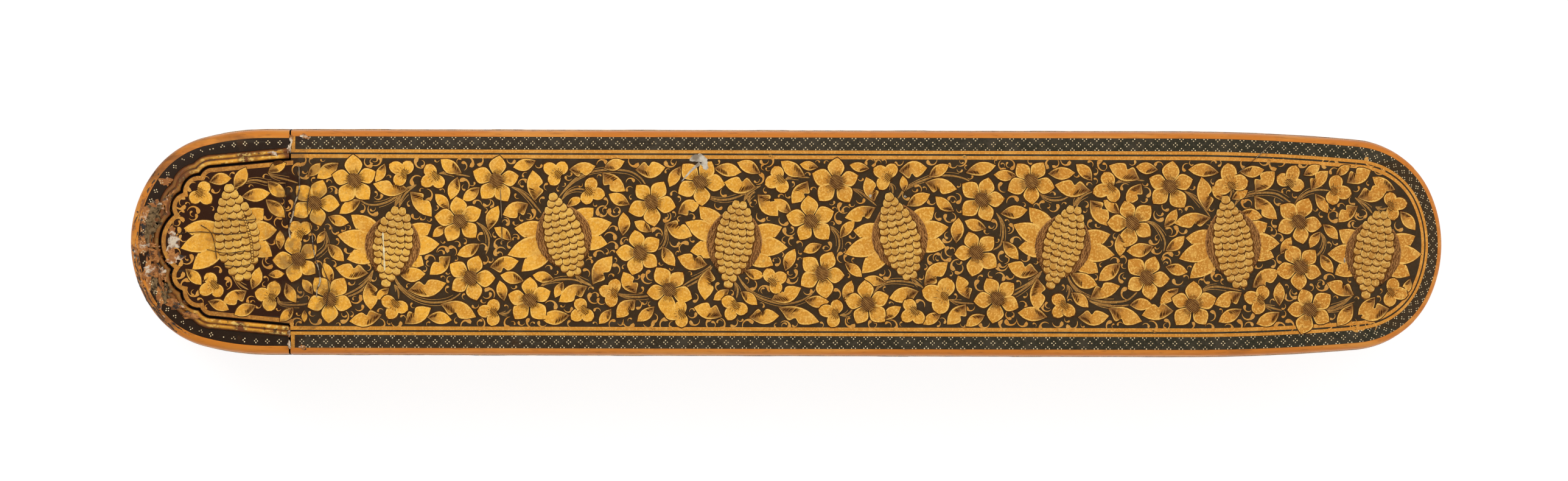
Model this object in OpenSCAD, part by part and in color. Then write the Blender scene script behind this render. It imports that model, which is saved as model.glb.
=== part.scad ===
// Lacquered pen box: a papier-mache sleeve with a lobed tongue, and a drawer that slides out of it.
// The drawer's head closes the open end. Its tray carries an inkwell and the writing tools.
// X runs along the box with the head at -X, Z is up, and the origin is at the middle of the base.

/* [Case] */
// Length of the closed box
case_len = 230; // [215:1:250]
// Width at the middle of the bowed sides
case_w = 39.8; // [38:0.1:46]
// Height from the base to the top of the camber
case_h = 38; // [35:0.5:44]
// How far the sides bow out at mid height
side_bow = 0.5; // [0.2:0.05:0.9]
// Radius of the edge round the base
base_edge_r = 2.2; // [1:0.1:3]
// Radius of the shoulder between side and top
shoulder_r = 1.5; // [1:0.1:2.2]
// Rise of the top above its shoulder
camber = 0.7; // [0.3:0.1:1.1]
// Distance in from the edge over which the top rises
camber_run = 10; // [7:0.5:12]

/* [Closed end] */
// Radius of the blunt tip
tip_r = 22.5; // [21.5:0.1:24]
// Radius of the long flank that leads into the end
flank_r = 350; // [250:5:500]
// Distance from the tip at which the flank starts
flank_from = 46; // [40:1:55]
// Distance from the tip at which the flank meets the corner
flank_to = 15; // [13.5:0.5:16.5]

/* [Head] */
// Length of the head, from its tip to the seam
head_len = 28.4; // [27.5:0.1:32]
// Radius of the head's tip
head_tip_r = 21; // [20.6:0.1:22]
// Radius of the head's flank
head_flank_r = 46; // [42:1:60]
// Distance from the head's tip at which its flank starts
head_flank_from = 24.5; // [22:0.5:26]
// Distance from the head's tip at which its flank meets the corner
head_flank_to = 12.8; // [12:0.1:14]
// Gap along the seam between head and sleeve
seam_gap = 0.3; // [0.2:0.05:0.5]

/* [Sleeve] */
// Thickness of the sleeve's sides, measured at the top and base
side_wall = 2.4; // [1.8:0.1:3]
// Thickness of the sleeve's top
top_wall = 2.6; // [2.2:0.1:3.2]
// Thickness of the sleeve's base
base_wall = 2.4; // [1.8:0.1:3.2]

/* [Tongue] */
// Length of the tongue from the seam to its tip
tongue_len = 22.7; // [20:0.1:24]
// Width of the tongue at the seam
tongue_root_w = 29; // [28:0.1:30]
// Width of the tongue where its lobes begin
tongue_lobe_w = 26; // [25:0.1:27]
// Thickness of the tongue under the top of the camber
tongue_t = 1.8; // [1.4:0.1:2.1]
// Clearance round the tongue's edge
tongue_gap = 0.35; // [0.3:0.05:0.6]
// Clearance under the tongue
ledge_gap = 0.3; // [0.2:0.05:0.5]

/* [Moulding] */
// Width of the raised moulding round the recess
moulding_w = 1.9; // [1.4:0.1:2.2]
// Height of the moulding above the top of the camber
moulding_rise = 0.4; // [0.2:0.1:0.8]
// Step that rounds the moulding's crest
moulding_step = 0.45; // [0.2:0.05:0.6]

/* [Tray] */
// Sliding clearance at each side of the tray
tray_gap = 0.35; // [0.3:0.05:0.6]
// Sliding clearance under the tray
tray_lift = 0.3; // [0.2:0.05:0.5]
// Clearance between the tray's tail and the sleeve's end
tail_gap = 1; // [0.6:0.1:2]
// Thickness of the tray's sides
tray_wall = 1.8; // [1.4:0.1:2.2]
// Thickness of the tray's floor
tray_floor = 2; // [1.4:0.1:2.6]
// Height of the tray
tray_h = 26; // [22:0.5:28]
// How far the tray is let into the head
tray_tenon = 6; // [4:0.5:8]
// Thickness of the partition beside the inkwell
partition_t = 1.6; // [1.2:0.1:2.4]
// Height of the partition above the tray's floor
partition_h = 15; // [10:0.5:18]

/* [Inkwell] */
// Radius of the inkwell
inkwell_r = 13.2; // [11:0.1:13.6]
// Thickness of the inkwell's wall and floor
inkwell_wall = 1; // [0.8:0.1:1.4]
// Room between the inkwell and what stands beside it
inkwell_room = 1; // [0.6:0.1:2]
// Radius of the mouth
mouth_r = 4.8; // [4:0.1:5.4]
// Wall of the neck round the mouth
neck_wall = 1; // [0.8:0.1:1.4]
// Height of the neck
neck_h = 2.2; // [2:0.1:3]
// Thickness of the lid
lid_t = 1.2; // [1:0.1:1.6]
// How far the lid overhangs the neck
lid_lip = 0.6; // [0.4:0.1:1]
// Gap between the lid and the neck
lid_gap = 0.2; // [0.1:0.05:0.4]
// Radius of the lid's finial
finial_r = 1.3; // [1:0.1:1.6]
// Radius of the hinge pin
pin_r = 0.6; // [0.5:0.05:0.8]
// Running clearance of the lid on its pin
pin_clear = 0.05; // [0.03:0.01:0.08]
// Wall of the hinge's barrel and ears
hinge_wall = 0.7; // [0.6:0.05:1]
// Length of the lid's barrel
barrel_len = 5; // [4:0.1:6]
// Length of each ear
ear_len = 2; // [1.6:0.1:2.6]
// End play beside the barrel
barrel_play = 0.15; // [0.1:0.05:0.3]
// Headroom left above the open lid
lid_headroom = 1.2; // [0.8:0.1:2]

/* [Writing tools] */
// Gap between a loose tool and what it lies on or beside
tool_gap = 0.2; // [0.1:0.05:0.3]
// Room along the box between tools that lie in a row
tool_room = 2; // [1:0.5:4]
// Room between the outer tools and the tray's sides
lane_room = 1; // [0.6:0.1:1.4]
// Radius of the reed pens
pen_r = 3; // [2.6:0.1:3.2]
// Radius of the reeds' bore
pen_bore_r = 1.9; // [1.5:0.1:2.1]
// Length of the longest reed pen
pen_len = 146; // [130:1:150]
// How much shorter each further reed pen is, worn by cutting
pen_wear = 9; // [4:1:14]
// Length of a pen's cut nib
nib_len = 21; // [16:0.5:26]
// Length of the narrow part of a nib
nib_point_len = 10; // [7:0.5:13]
// Width of a pen's writing edge
nib_w = 2.4; // [1.6:0.1:3.2]
// Thickness of the reed left at the writing edge
nib_t = 0.8; // [0.6:0.1:1]
// Length of the penknife's handle
knife_handle_len = 58; // [50:1:62]
// Radius of the penknife's handle where it swells most
knife_handle_r = 3.6; // [3:0.1:3.8]
// Distance from the handle's butt to that place
knife_swell_len = 23; // [18:1:30]
// Length of the penknife's ferrule
ferrule_len = 6; // [5:0.5:8]
// Radius of the penknife's ferrule
ferrule_r = 2.8; // [2.5:0.1:3]
// Length of the penknife's blade beyond its ferrule
blade_len = 31; // [26:1:34]
// Width of the penknife's blade
blade_w = 6.4; // [5:0.1:7]
// Thickness of the penknife's blade
blade_t = 1.2; // [0.8:0.1:1.4]
// Length of the blade's slanting point
blade_point_len = 9; // [6:0.5:12]
// Width of the blade's tang in the ferrule
tang_w = 2.8; // [2:0.1:3.4]
// Length of the nibbing block
block_len = 40; // [34:1:44]
// Width of the nibbing block
block_w = 7; // [6:0.1:7.2]
// Thickness of the nibbing block
block_t = 3.4; // [3:0.1:4.4]
// Length of the groove in the nibbing block
groove_len = 20; // [14:1:26]
// Radius of that groove
groove_r = 2.8; // [2:0.1:3.2]
// Depth of that groove
groove_depth = 1.4; // [1:0.1:1.8]

/* [Hidden] */
$fn = 64;

far = case_len + case_w + case_h;
half_len = case_len / 2;
half_w = case_w / 2;
seam_x = -half_len + head_len;

// Levels
cavity_z0 = base_wall;
cavity_z1 = case_h - top_wall;
tongue_z = case_h - tongue_t;
ledge_z = tongue_z - ledge_gap;
tray_z = cavity_z0 + tray_lift;
floor_z = tray_z + tray_floor;

// Widths, as insets from the case's outline
cavity_inset = side_wall + side_bow;
tray_inset = cavity_inset + tray_gap;
trough_inset = tray_inset + tray_wall;
tray_half_w = half_w - tray_inset;
trough_half_w = half_w - trough_inset;

// Tongue and its lobes: distance from the tip, distance in from the lobed edge, radius
tongue_tip_x = seam_x - tongue_len;
tongue_overlap = 2;
lobe_half_w = tongue_lobe_w / 2;
tip_lobe_r = 6;
side_lobes = [[4.6, 7, 2.7], [6.7, 4.3, 2.9], [9, 2.3, 2.3]];

// Inkwell levels: its height leaves room for the lid to open under the sleeve's top
neck_r = mouth_r + neck_wall;
lid_r = neck_r + lid_lip;
barrel_r = pin_r + pin_clear + hinge_wall;
inkwell_x = seam_x + inkwell_room + inkwell_r;
hinge_x = inkwell_x + lid_r + barrel_r;
hinge_z = cavity_z1 - lid_headroom - (hinge_x - inkwell_x + lid_r);
lid_z = hinge_z - lid_t / 2;
neck_z = lid_z - lid_gap;
collar_z = neck_z - neck_h;
cup_h = collar_z - inkwell_wall - floor_z;
partition_x = inkwell_x + inkwell_r + inkwell_room;

// Lanes for the tools on the tray's floor
tools_x = partition_x + partition_t + tool_room;
pen_z = floor_z + tool_gap + pen_r;
pen_pitch = 2 * pen_r + tool_gap;
pen_count = 3;
pen_y = -trough_half_w + lane_room + pen_r;
knife_y = trough_half_w - lane_room - max(knife_handle_r, block_w / 2);
knife_z = floor_z + tool_gap + knife_handle_r;
ferrule_x = tools_x + knife_handle_len;
blade_x = ferrule_x + ferrule_len;
block_x = blade_x + blade_len + tool_room;

// Plan of one rounded end, as samples [x, y, normal x, normal y] from its flank to its tip.
// A flank, a corner and a tip arc meet in tangents; the corner's radius follows from the other two.
function end_rim(tip, flank, from, to) =
    let (a1 = asin((from - to) / flank),
        to_h = half_w - flank * (1 - cos(a1)),
        corner = ((to - tip) ^ 2 + to_h ^ 2 - tip ^ 2) / 2
            / (sin(a1) * (tip - to) + cos(a1) * to_h - tip),
        cx = to + corner * sin(a1),
        cy = to_h - corner * cos(a1),
        a2 = atan2(tip - cx, cy))
    concat(
        [for (i = [0:3]) arc_sample(from, half_w - flank, flank, a1 * i / 4)],
        [for (i = [0:7]) arc_sample(cx, cy, corner, a1 + (a2 - a1) * i / 8)],
        [for (i = [0:4]) arc_sample(tip, 0, tip, a2 + (90 - a2) * i / 4)]);
function arc_sample(depth, height, r, a) =
    [half_len - depth + r * sin(a), height + r * cos(a), sin(a), cos(a)];

// Samples reordered into one closed outline, counter-clockwise from the closed end's lower flank
function turned(s, mx, my) = [s[0] * mx, s[1] * my, s[2] * mx, s[3] * my];
function one_end(rim, mx) =
    let (last = len(rim) - 1)
    concat([for (i = [0:last]) turned(rim[i], mx, -mx)],
        [for (i = [last - 1:-1:0]) turned(rim[i], mx, mx)]);
case_rim = concat(
    one_end(end_rim(tip_r, flank_r, flank_from, flank_to), 1),
    one_end(end_rim(head_tip_r, head_flank_r, head_flank_from, head_flank_to), -1));
function plan(inset) = [for (s = case_rim) [s[0] - inset * s[2], s[1] - inset * s[3]]];

// Section of the case from base to top, as [inset, z]
function bow_inset(z) = side_bow * ((z / case_h - 0.5) * 2) ^ 2;
shoulder_z = case_h - camber - shoulder_r;
camber_start = bow_inset(shoulder_z) + shoulder_r;
section = concat(
    [for (t = [0:30:90])
        [bow_inset(base_edge_r) + base_edge_r * (1 - sin(t)), base_edge_r * (1 - cos(t))]],
    [for (i = [1:4])
        let (z = base_edge_r + (shoulder_z - base_edge_r) * i / 5) [bow_inset(z), z]],
    [for (t = [0:25:75])
        [bow_inset(shoulder_z) + shoulder_r * (1 - cos(t)), shoulder_z + shoulder_r * sin(t)]],
    [for (q = [0.1, 0.4, 0.7, 1])
        [camber_start + (camber_run - camber_start) * q, case_h - camber * (1 - q) ^ 2]]);

// The whole closed box as one solid, before it is cut into sleeve and head
module case_form() {
    n = len(case_rim);
    rings = [for (s = section) [for (p = plan(s[0])) [p[0], p[1], s[1]]]];
    levels = len(rings);
    sides = [for (k = [0:levels - 2], i = [0:n - 1])
        let (j = (i + 1) % n, a = k * n, b = (k + 1) * n)
        each [[a + i, b + i, a + j], [b + i, b + j, a + j]]];
    base = [for (i = [0:n - 1]) i];
    top = [for (i = [n - 1:-1:0]) (levels - 1) * n + i];
    polyhedron([for (r = rings) each r], concat([base, top], sides), convexity = 4);
}

// Everything between two planes across the box
module slab(x0, x1) {
    translate([x0, -far / 2, -far / 2]) cube([x1 - x0, far, far]);
}

// Plan of the lobed tongue, grown outwards by a distance
module tongue_plan(grow) {
    root = [seam_x + tongue_overlap, tongue_root_w / 2 + grow];
    lobes = [for (l = side_lobes) [tongue_tip_x + l[0], lobe_half_w - l[1], l[2]]];
    edge = concat([root, [lobes[2][0], lobe_half_w + grow]],
        [for (i = [1, 0]) [lobes[i][0], lobes[i][1]]],
        [[tongue_tip_x + tip_lobe_r, tip_lobe_r / 2]]);
    polygon(concat(edge, [for (i = [len(edge) - 1:-1:0]) [edge[i][0], -edge[i][1]]]));
    translate([tongue_tip_x + tip_lobe_r, 0]) circle(tip_lobe_r + grow);
    for (l = lobes, side = [-1, 1]) translate([l[0], side * l[1]]) circle(l[2] + grow);
}

module sleeve_shell() color([0.13, 0.12, 0.1]) {
    difference() {
        intersection() {
            case_form();
            union() {
                slab(seam_x, far);
                translate([0, 0, tongue_z]) linear_extrude(far) tongue_plan(0);
            }
        }
        intersection() {
            slab(seam_x - 1, far);
            translate([0, 0, cavity_z0])
                linear_extrude(cavity_z1 - cavity_z0) polygon(plan(cavity_inset));
        }
    }
}

module head_block() color([0.55, 0.27, 0.08]) {
    difference() {
        intersection() {
            case_form();
            slab(-far, seam_x - seam_gap);
        }
        translate([0, 0, ledge_z]) linear_extrude(far) tongue_plan(tongue_gap + moulding_w);
        translate([seam_x - tray_tenon, -tray_half_w, tray_z]) cube([far, 2 * tray_half_w, tray_h]);
    }
}

// Moulding in two steps, the upper one narrower, open towards the seam
module lobed_moulding() color([0.72, 0.48, 0.14]) {
    crest_z = case_h + moulding_rise;
    intersection() {
        slab(-far, seam_x - seam_gap);
        union() {
            moulding_step(ledge_z, crest_z - moulding_step, 0);
            moulding_step(ledge_z, crest_z, moulding_step);
        }
    }
}
module moulding_step(z0, z1, inset) {
    translate([0, 0, z0]) linear_extrude(z1 - z0) difference() {
        tongue_plan(tongue_gap + moulding_w - inset);
        tongue_plan(tongue_gap + inset);
    }
}

// Plan of the tray at an inset, from its end in the head to a tail that clears the sleeve's end
module tray_plan(inset) {
    intersection() {
        translate([-tail_gap, 0]) polygon(plan(inset));
        translate([seam_x - tray_tenon, -far / 2]) square([far, far]);
    }
}

module tray_trough() color([0.45, 0.09, 0.05]) {
    difference() {
        translate([0, 0, tray_z]) linear_extrude(tray_h) tray_plan(tray_inset);
        translate([0, 0, floor_z]) linear_extrude(far) tray_plan(trough_inset);
    }
}

module inkwell_partition() color([0.45, 0.09, 0.05]) {
    translate([partition_x, -trough_half_w, floor_z]) cube([partition_t, 2 * trough_half_w, partition_h]);
}

module inkwell_cup() color([0.71, 0.56, 0.24]) {
    translate([inkwell_x, 0, floor_z]) difference() {
        cylinder(r = inkwell_r, h = cup_h);
        translate([0, 0, inkwell_wall]) cylinder(r = inkwell_r - inkwell_wall, h = far);
    }
}

// Cap of the inkwell, with the neck and the two ears of the hinge
module inkwell_collar() color([0.76, 0.6, 0.27]) {
    difference() {
        union() {
            translate([inkwell_x, 0, collar_z - inkwell_wall]) cylinder(r = inkwell_r, h = inkwell_wall);
            translate([inkwell_x, 0, collar_z - inkwell_wall])
                cylinder(r = neck_r, h = neck_h + inkwell_wall);
            for (side = [-1, 1]) hinge_ear(side);
        }
        translate([inkwell_x, 0, 0]) cylinder(r = mouth_r, h = far);
        across_hinge(pin_r, far);
    }
}

// A cylinder along the hinge's axis
module across_hinge(r, length) {
    translate([hinge_x, 0, hinge_z]) rotate([90, 0, 0]) cylinder(r = r, h = length, center = true);
}
module hinge_ear(side) {
    y = side * (barrel_len / 2 + barrel_play + ear_len / 2);
    translate([0, y, 0]) across_hinge(barrel_r, ear_len);
    translate([hinge_x - barrel_r, y - ear_len / 2, collar_z - inkwell_wall])
        cube([2 * barrel_r, ear_len, hinge_z - collar_z + inkwell_wall]);
}

module hinge_pin() color([0.62, 0.5, 0.26]) {
    across_hinge(pin_r, barrel_len + 2 * (barrel_play + ear_len));
}

module inkwell_lid() color([0.78, 0.62, 0.28]) {
    difference() {
        union() {
            translate([inkwell_x, 0, lid_z]) cylinder(r = lid_r, h = lid_t);
            translate([inkwell_x, -barrel_len / 2, lid_z]) cube([hinge_x - inkwell_x, barrel_len, lid_t]);
            across_hinge(barrel_r, barrel_len);
        }
        across_hinge(pin_r + pin_clear, far);
    }
}

module lid_finial() color([0.8, 0.64, 0.3]) {
    stem_r = finial_r / 2;
    translate([inkwell_x, 0, lid_z + lid_t]) {
        cylinder(r1 = finial_r, r2 = stem_r, h = finial_r / 2);
        cylinder(r = stem_r, h = finial_r);
        translate([0, 0, 1.6 * finial_r]) sphere(r = finial_r);
    }
}

// A hollow reed along X with its nib towards the tail: scooped from above and narrowed at both sides
module reed_pen(i) color([0.62, 0.4, 0.17]) {
    reed_len = pen_len - i * pen_wear;
    translate([tools_x, pen_y + (pen_count - 1 - i) * pen_pitch, pen_z]) difference() {
        rotate([0, 90, 0]) cylinder(r = pen_r, h = reed_len);
        translate([-1, 0, 0]) rotate([0, 90, 0]) cylinder(r = pen_bore_r, h = reed_len + 2);
        translate([reed_len - nib_len, -far / 2, 0]) rotate([0, atan2(pen_r - nib_t, nib_len), 0]) cube(far);
        for (side = [0, 1]) mirror([0, side, 0])
            translate([reed_len - nib_point_len, nib_w / 2, -far / 2]) cube(far);
    }
}

// Turned handle, swelling between its butt and its ferrule
module penknife_handle() color([0.86, 0.8, 0.66]) {
    translate([tools_x, knife_y, knife_z]) rotate([0, 90, 0]) rotate_extrude()
        polygon([[0, 0], [ferrule_r, 0], [knife_handle_r, knife_swell_len],
            [ferrule_r, knife_handle_len], [0, knife_handle_len]]);
}

module penknife_ferrule() color([0.6, 0.6, 0.58]) {
    translate([ferrule_x, knife_y, knife_z]) difference() {
        rotate([0, 90, 0]) cylinder(r = ferrule_r, h = ferrule_len);
        translate([ferrule_len / 2, -tang_w / 2, -blade_t / 2]) cube([ferrule_len, tang_w, blade_t]);
    }
}

// Blade with a straight edge and a slanting point, its tang let into the ferrule
module penknife_blade() color([0.7, 0.71, 0.72]) {
    translate([blade_x, knife_y, knife_z - blade_t / 2]) linear_extrude(blade_t) {
        translate([-ferrule_len / 2, -tang_w / 2]) square([ferrule_len, tang_w]);
        polygon([[0, -blade_w / 2], [blade_len, -blade_w / 2],
            [blade_len - blade_point_len, blade_w / 2], [0, blade_w / 2]]);
    }
}

// Bone block with round ends and a groove that holds a pen for cutting
module nibbing_block() color([0.88, 0.83, 0.7]) {
    end_r = block_w / 2;
    translate([block_x, knife_y, floor_z]) difference() {
        linear_extrude(block_t) {
            for (x = [end_r, block_len - end_r]) translate([x, 0]) circle(end_r);
            translate([end_r, -end_r]) square([block_len - block_w, block_w]);
        }
        translate([-1, 0, block_t + groove_r - groove_depth])
            rotate([0, 90, 0]) cylinder(r = groove_r, h = 1 + groove_len);
    }
}

sleeve_shell();
head_block();
lobed_moulding();
tray_trough();
inkwell_partition();
inkwell_cup();
inkwell_collar();
hinge_pin();
inkwell_lid();
lid_finial();
reed_pen(0);  // reed_pen_1
reed_pen(1);  // reed_pen_2
reed_pen(2);  // reed_pen_3
penknife_handle();
penknife_ferrule();
penknife_blade();
nibbing_block();
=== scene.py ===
"""Dressed model of a lacquered papier-mache pen box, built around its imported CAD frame.

The sleeve, its lobed tongue and the drawer's head are black lacquer painted with a gold vine. The drawer's
tray is red lacquer and carries a brass inkwell and writing tools. Sizes are in millimetres until a mesh is
made.
"""

import logging
import math
import random
from dataclasses import dataclass, field
from enum import Enum
from typing import Callable, Dict, List, NamedTuple, Optional, Sequence, Tuple

import bpy
import numpy as np
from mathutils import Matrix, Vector
from mathutils.bvhtree import BVHTree


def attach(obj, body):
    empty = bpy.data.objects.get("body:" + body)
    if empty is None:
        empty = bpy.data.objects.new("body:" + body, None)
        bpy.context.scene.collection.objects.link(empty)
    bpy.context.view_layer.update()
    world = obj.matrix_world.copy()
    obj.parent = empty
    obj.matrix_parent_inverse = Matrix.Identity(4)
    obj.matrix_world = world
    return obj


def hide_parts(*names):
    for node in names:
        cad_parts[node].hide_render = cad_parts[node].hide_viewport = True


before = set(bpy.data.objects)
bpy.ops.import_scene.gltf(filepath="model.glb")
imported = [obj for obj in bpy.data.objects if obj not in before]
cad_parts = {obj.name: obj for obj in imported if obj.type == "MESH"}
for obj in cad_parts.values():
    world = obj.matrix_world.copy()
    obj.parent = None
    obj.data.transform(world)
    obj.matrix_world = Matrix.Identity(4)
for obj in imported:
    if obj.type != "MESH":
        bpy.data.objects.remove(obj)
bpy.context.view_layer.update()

MM = 0.001
GROWTH = "growth"
RIM = "rim"
WHITE = (1.0, 1.0, 1.0, 1.0)
Pair = Tuple[float, float]
Pairs = Tuple[Pair, ...]
Profile = Pairs
Triple = Tuple[float, float, float]
Colour = Triple
Array = np.ndarray
Face = Tuple[int, ...]
Piece = bpy.types.Object
Material = bpy.types.Material
log = logging.getLogger("pen_box")


class Body(Enum):
    """The bodies that pieces ride on."""

    SLEEVE = "sleeve"
    DRAWER = "drawer"
    LID = "inkwell_lid"


class Slot(Enum):
    """The record's material slots."""

    BLACK = "black_lacquer"
    BROWN = "brown_lacquer"
    GILT = "gilt_moulding"
    RED = "red_lacquer"
    BRASS = "brass"
    REED = "reed"
    BONE = "bone"
    STEEL = "steel"


class Notch(Enum):
    """The side of a leaf that has a notch, as a direction in the photograph."""

    NONE = (0.0, 0.0)
    N = (0.0, 1.0)
    S = (0.0, -1.0)
    E = (1.0, 0.0)
    W = (-1.0, 0.0)


class Leaf(NamedTuple):
    """A leaf read in the photograph, from its hatched base to its tip, in pixels."""

    base_x: float
    base_y: float
    tip_x: float
    tip_y: float
    notch: Notch = Notch.NONE


class Blossom(NamedTuple):
    """A five-petalled blossom: its eye in pixels and the direction of one petal in degrees."""

    eye_x: float
    eye_y: float
    turn: float


class Spray(NamedTuple):
    """A blossom seen from the side: its eye and the point of its middle petal, in pixels."""

    eye_x: float
    eye_y: float
    point_x: float
    point_y: float


class Cluster(NamedTuple):
    """A grape-like cluster: its top and bottom, its narrow end, and the tips of its calyx, in pixels."""

    top: Pair
    bottom: Pair
    narrow_up: bool
    calyx: Pairs
    hatched: bool = True


class Blot(NamedTuple):
    """A ragged patch of wear: its middle in pixels, half its width and height, and the seed of its edge."""

    x: float
    y: float
    half_w: float
    half_h: float
    seed: int


class Crack(NamedTuple):
    """A crack in the lacquer: its width in millimetres and its points in pixels."""

    width: float
    points: Pairs


N, S, E, W = Notch.N, Notch.S, Notch.E, Notch.W

CLUSTERS: Tuple[Cluster, ...] = (
    Cluster((376, 306), (400, 461), True,
            ((302, 377), (297, 410), (316, 445), (433, 345), (455, 380), (447, 423)), False),
    Cluster((656, 343), (633, 472), False,
            ((577, 355), (554, 388), (570, 428), (709, 371), (722, 403), (696, 438))),
    Cluster((907, 320), (944, 455), True,
            ((845, 377), (834, 421), (857, 448), (975, 344), (1005, 368), (998, 403))),
    Cluster((1216, 333), (1196, 473), False,
            ((1149, 341), (1126, 367), (1134, 415), (1285, 375), (1294, 409), (1270, 438))),
    Cluster((1459, 319), (1496, 460), True,
            ((1402, 381), (1388, 419), (1416, 451), (1535, 343), (1558, 375), (1554, 408))),
    Cluster((1766, 342), (1725, 475), False,
            ((1691, 343), (1665, 371), (1673, 409), (1824, 387), (1831, 421), (1804, 450))),
    Cluster((2013, 325), (2038, 473), True,
            ((1948, 393), (1937, 427), (1955, 459), (2082, 369), (2102, 402), (2093, 425))),
    Cluster((2268, 350), (2243, 491), False,
            ((2200, 380), (2181, 419), (2193, 453), (2325, 390), (2335, 420), (2316, 455))),
)

BLOSSOMS: Tuple[Blossom, ...] = tuple(Blossom(*seat) for seat in (
    (582, 298, 95), (517, 335, -5), (490, 428, 35), (541, 493, 53), (755, 365, 98), (773, 458, 0),
    (815, 298, 86), (870, 495, 92), (1051, 417, 106), (1070, 334, -10), (1150, 301, 62), (1099, 478, 48),
    (1332, 365, 95), (1350, 451, -6), (1374, 301, 88), (1425, 501, 95), (1613, 330, 0), (1604, 417, 40),
    (1694, 300, -16), (1638, 493, 46), (1860, 368, 40), (1884, 458, -4), (1922, 308, 85), (1959, 504, 90),
    (2134, 366, 64), (2136, 441, 50), (2152, 511, 38),
))

SPRAYS: Tuple[Spray, ...] = tuple(Spray(*seat) for seat in (
    (664, 287, 645, 275), (715, 291, 698, 303), (649, 501, 641, 520), (917, 288, 897, 275),
    (967, 316, 989, 322), (811, 515, 788, 513), (1009, 483, 986, 478), (960, 511, 945, 522),
    (1282, 296, 1258, 305), (1269, 465, 1288, 455), (1208, 503, 1197, 525), (1120, 517, 1098, 518),
    (1459, 293, 1438, 280), (1372, 517, 1350, 512), (1551, 488, 1518, 480), (1502, 513, 1484, 527),
    (1825, 309, 1800, 318), (1748, 503, 1733, 520), (2023, 306, 2018, 275), (2071, 494, 2046, 487),
    (2119, 302, 2128, 278), (2192, 315, 2218, 320), (2285, 340, 2304, 337), (2285, 482, 2296, 484),
    (328, 318, 343, 332), (352, 470, 335, 480), (447, 490, 421, 483), (494, 386, 481, 372),
))

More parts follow.
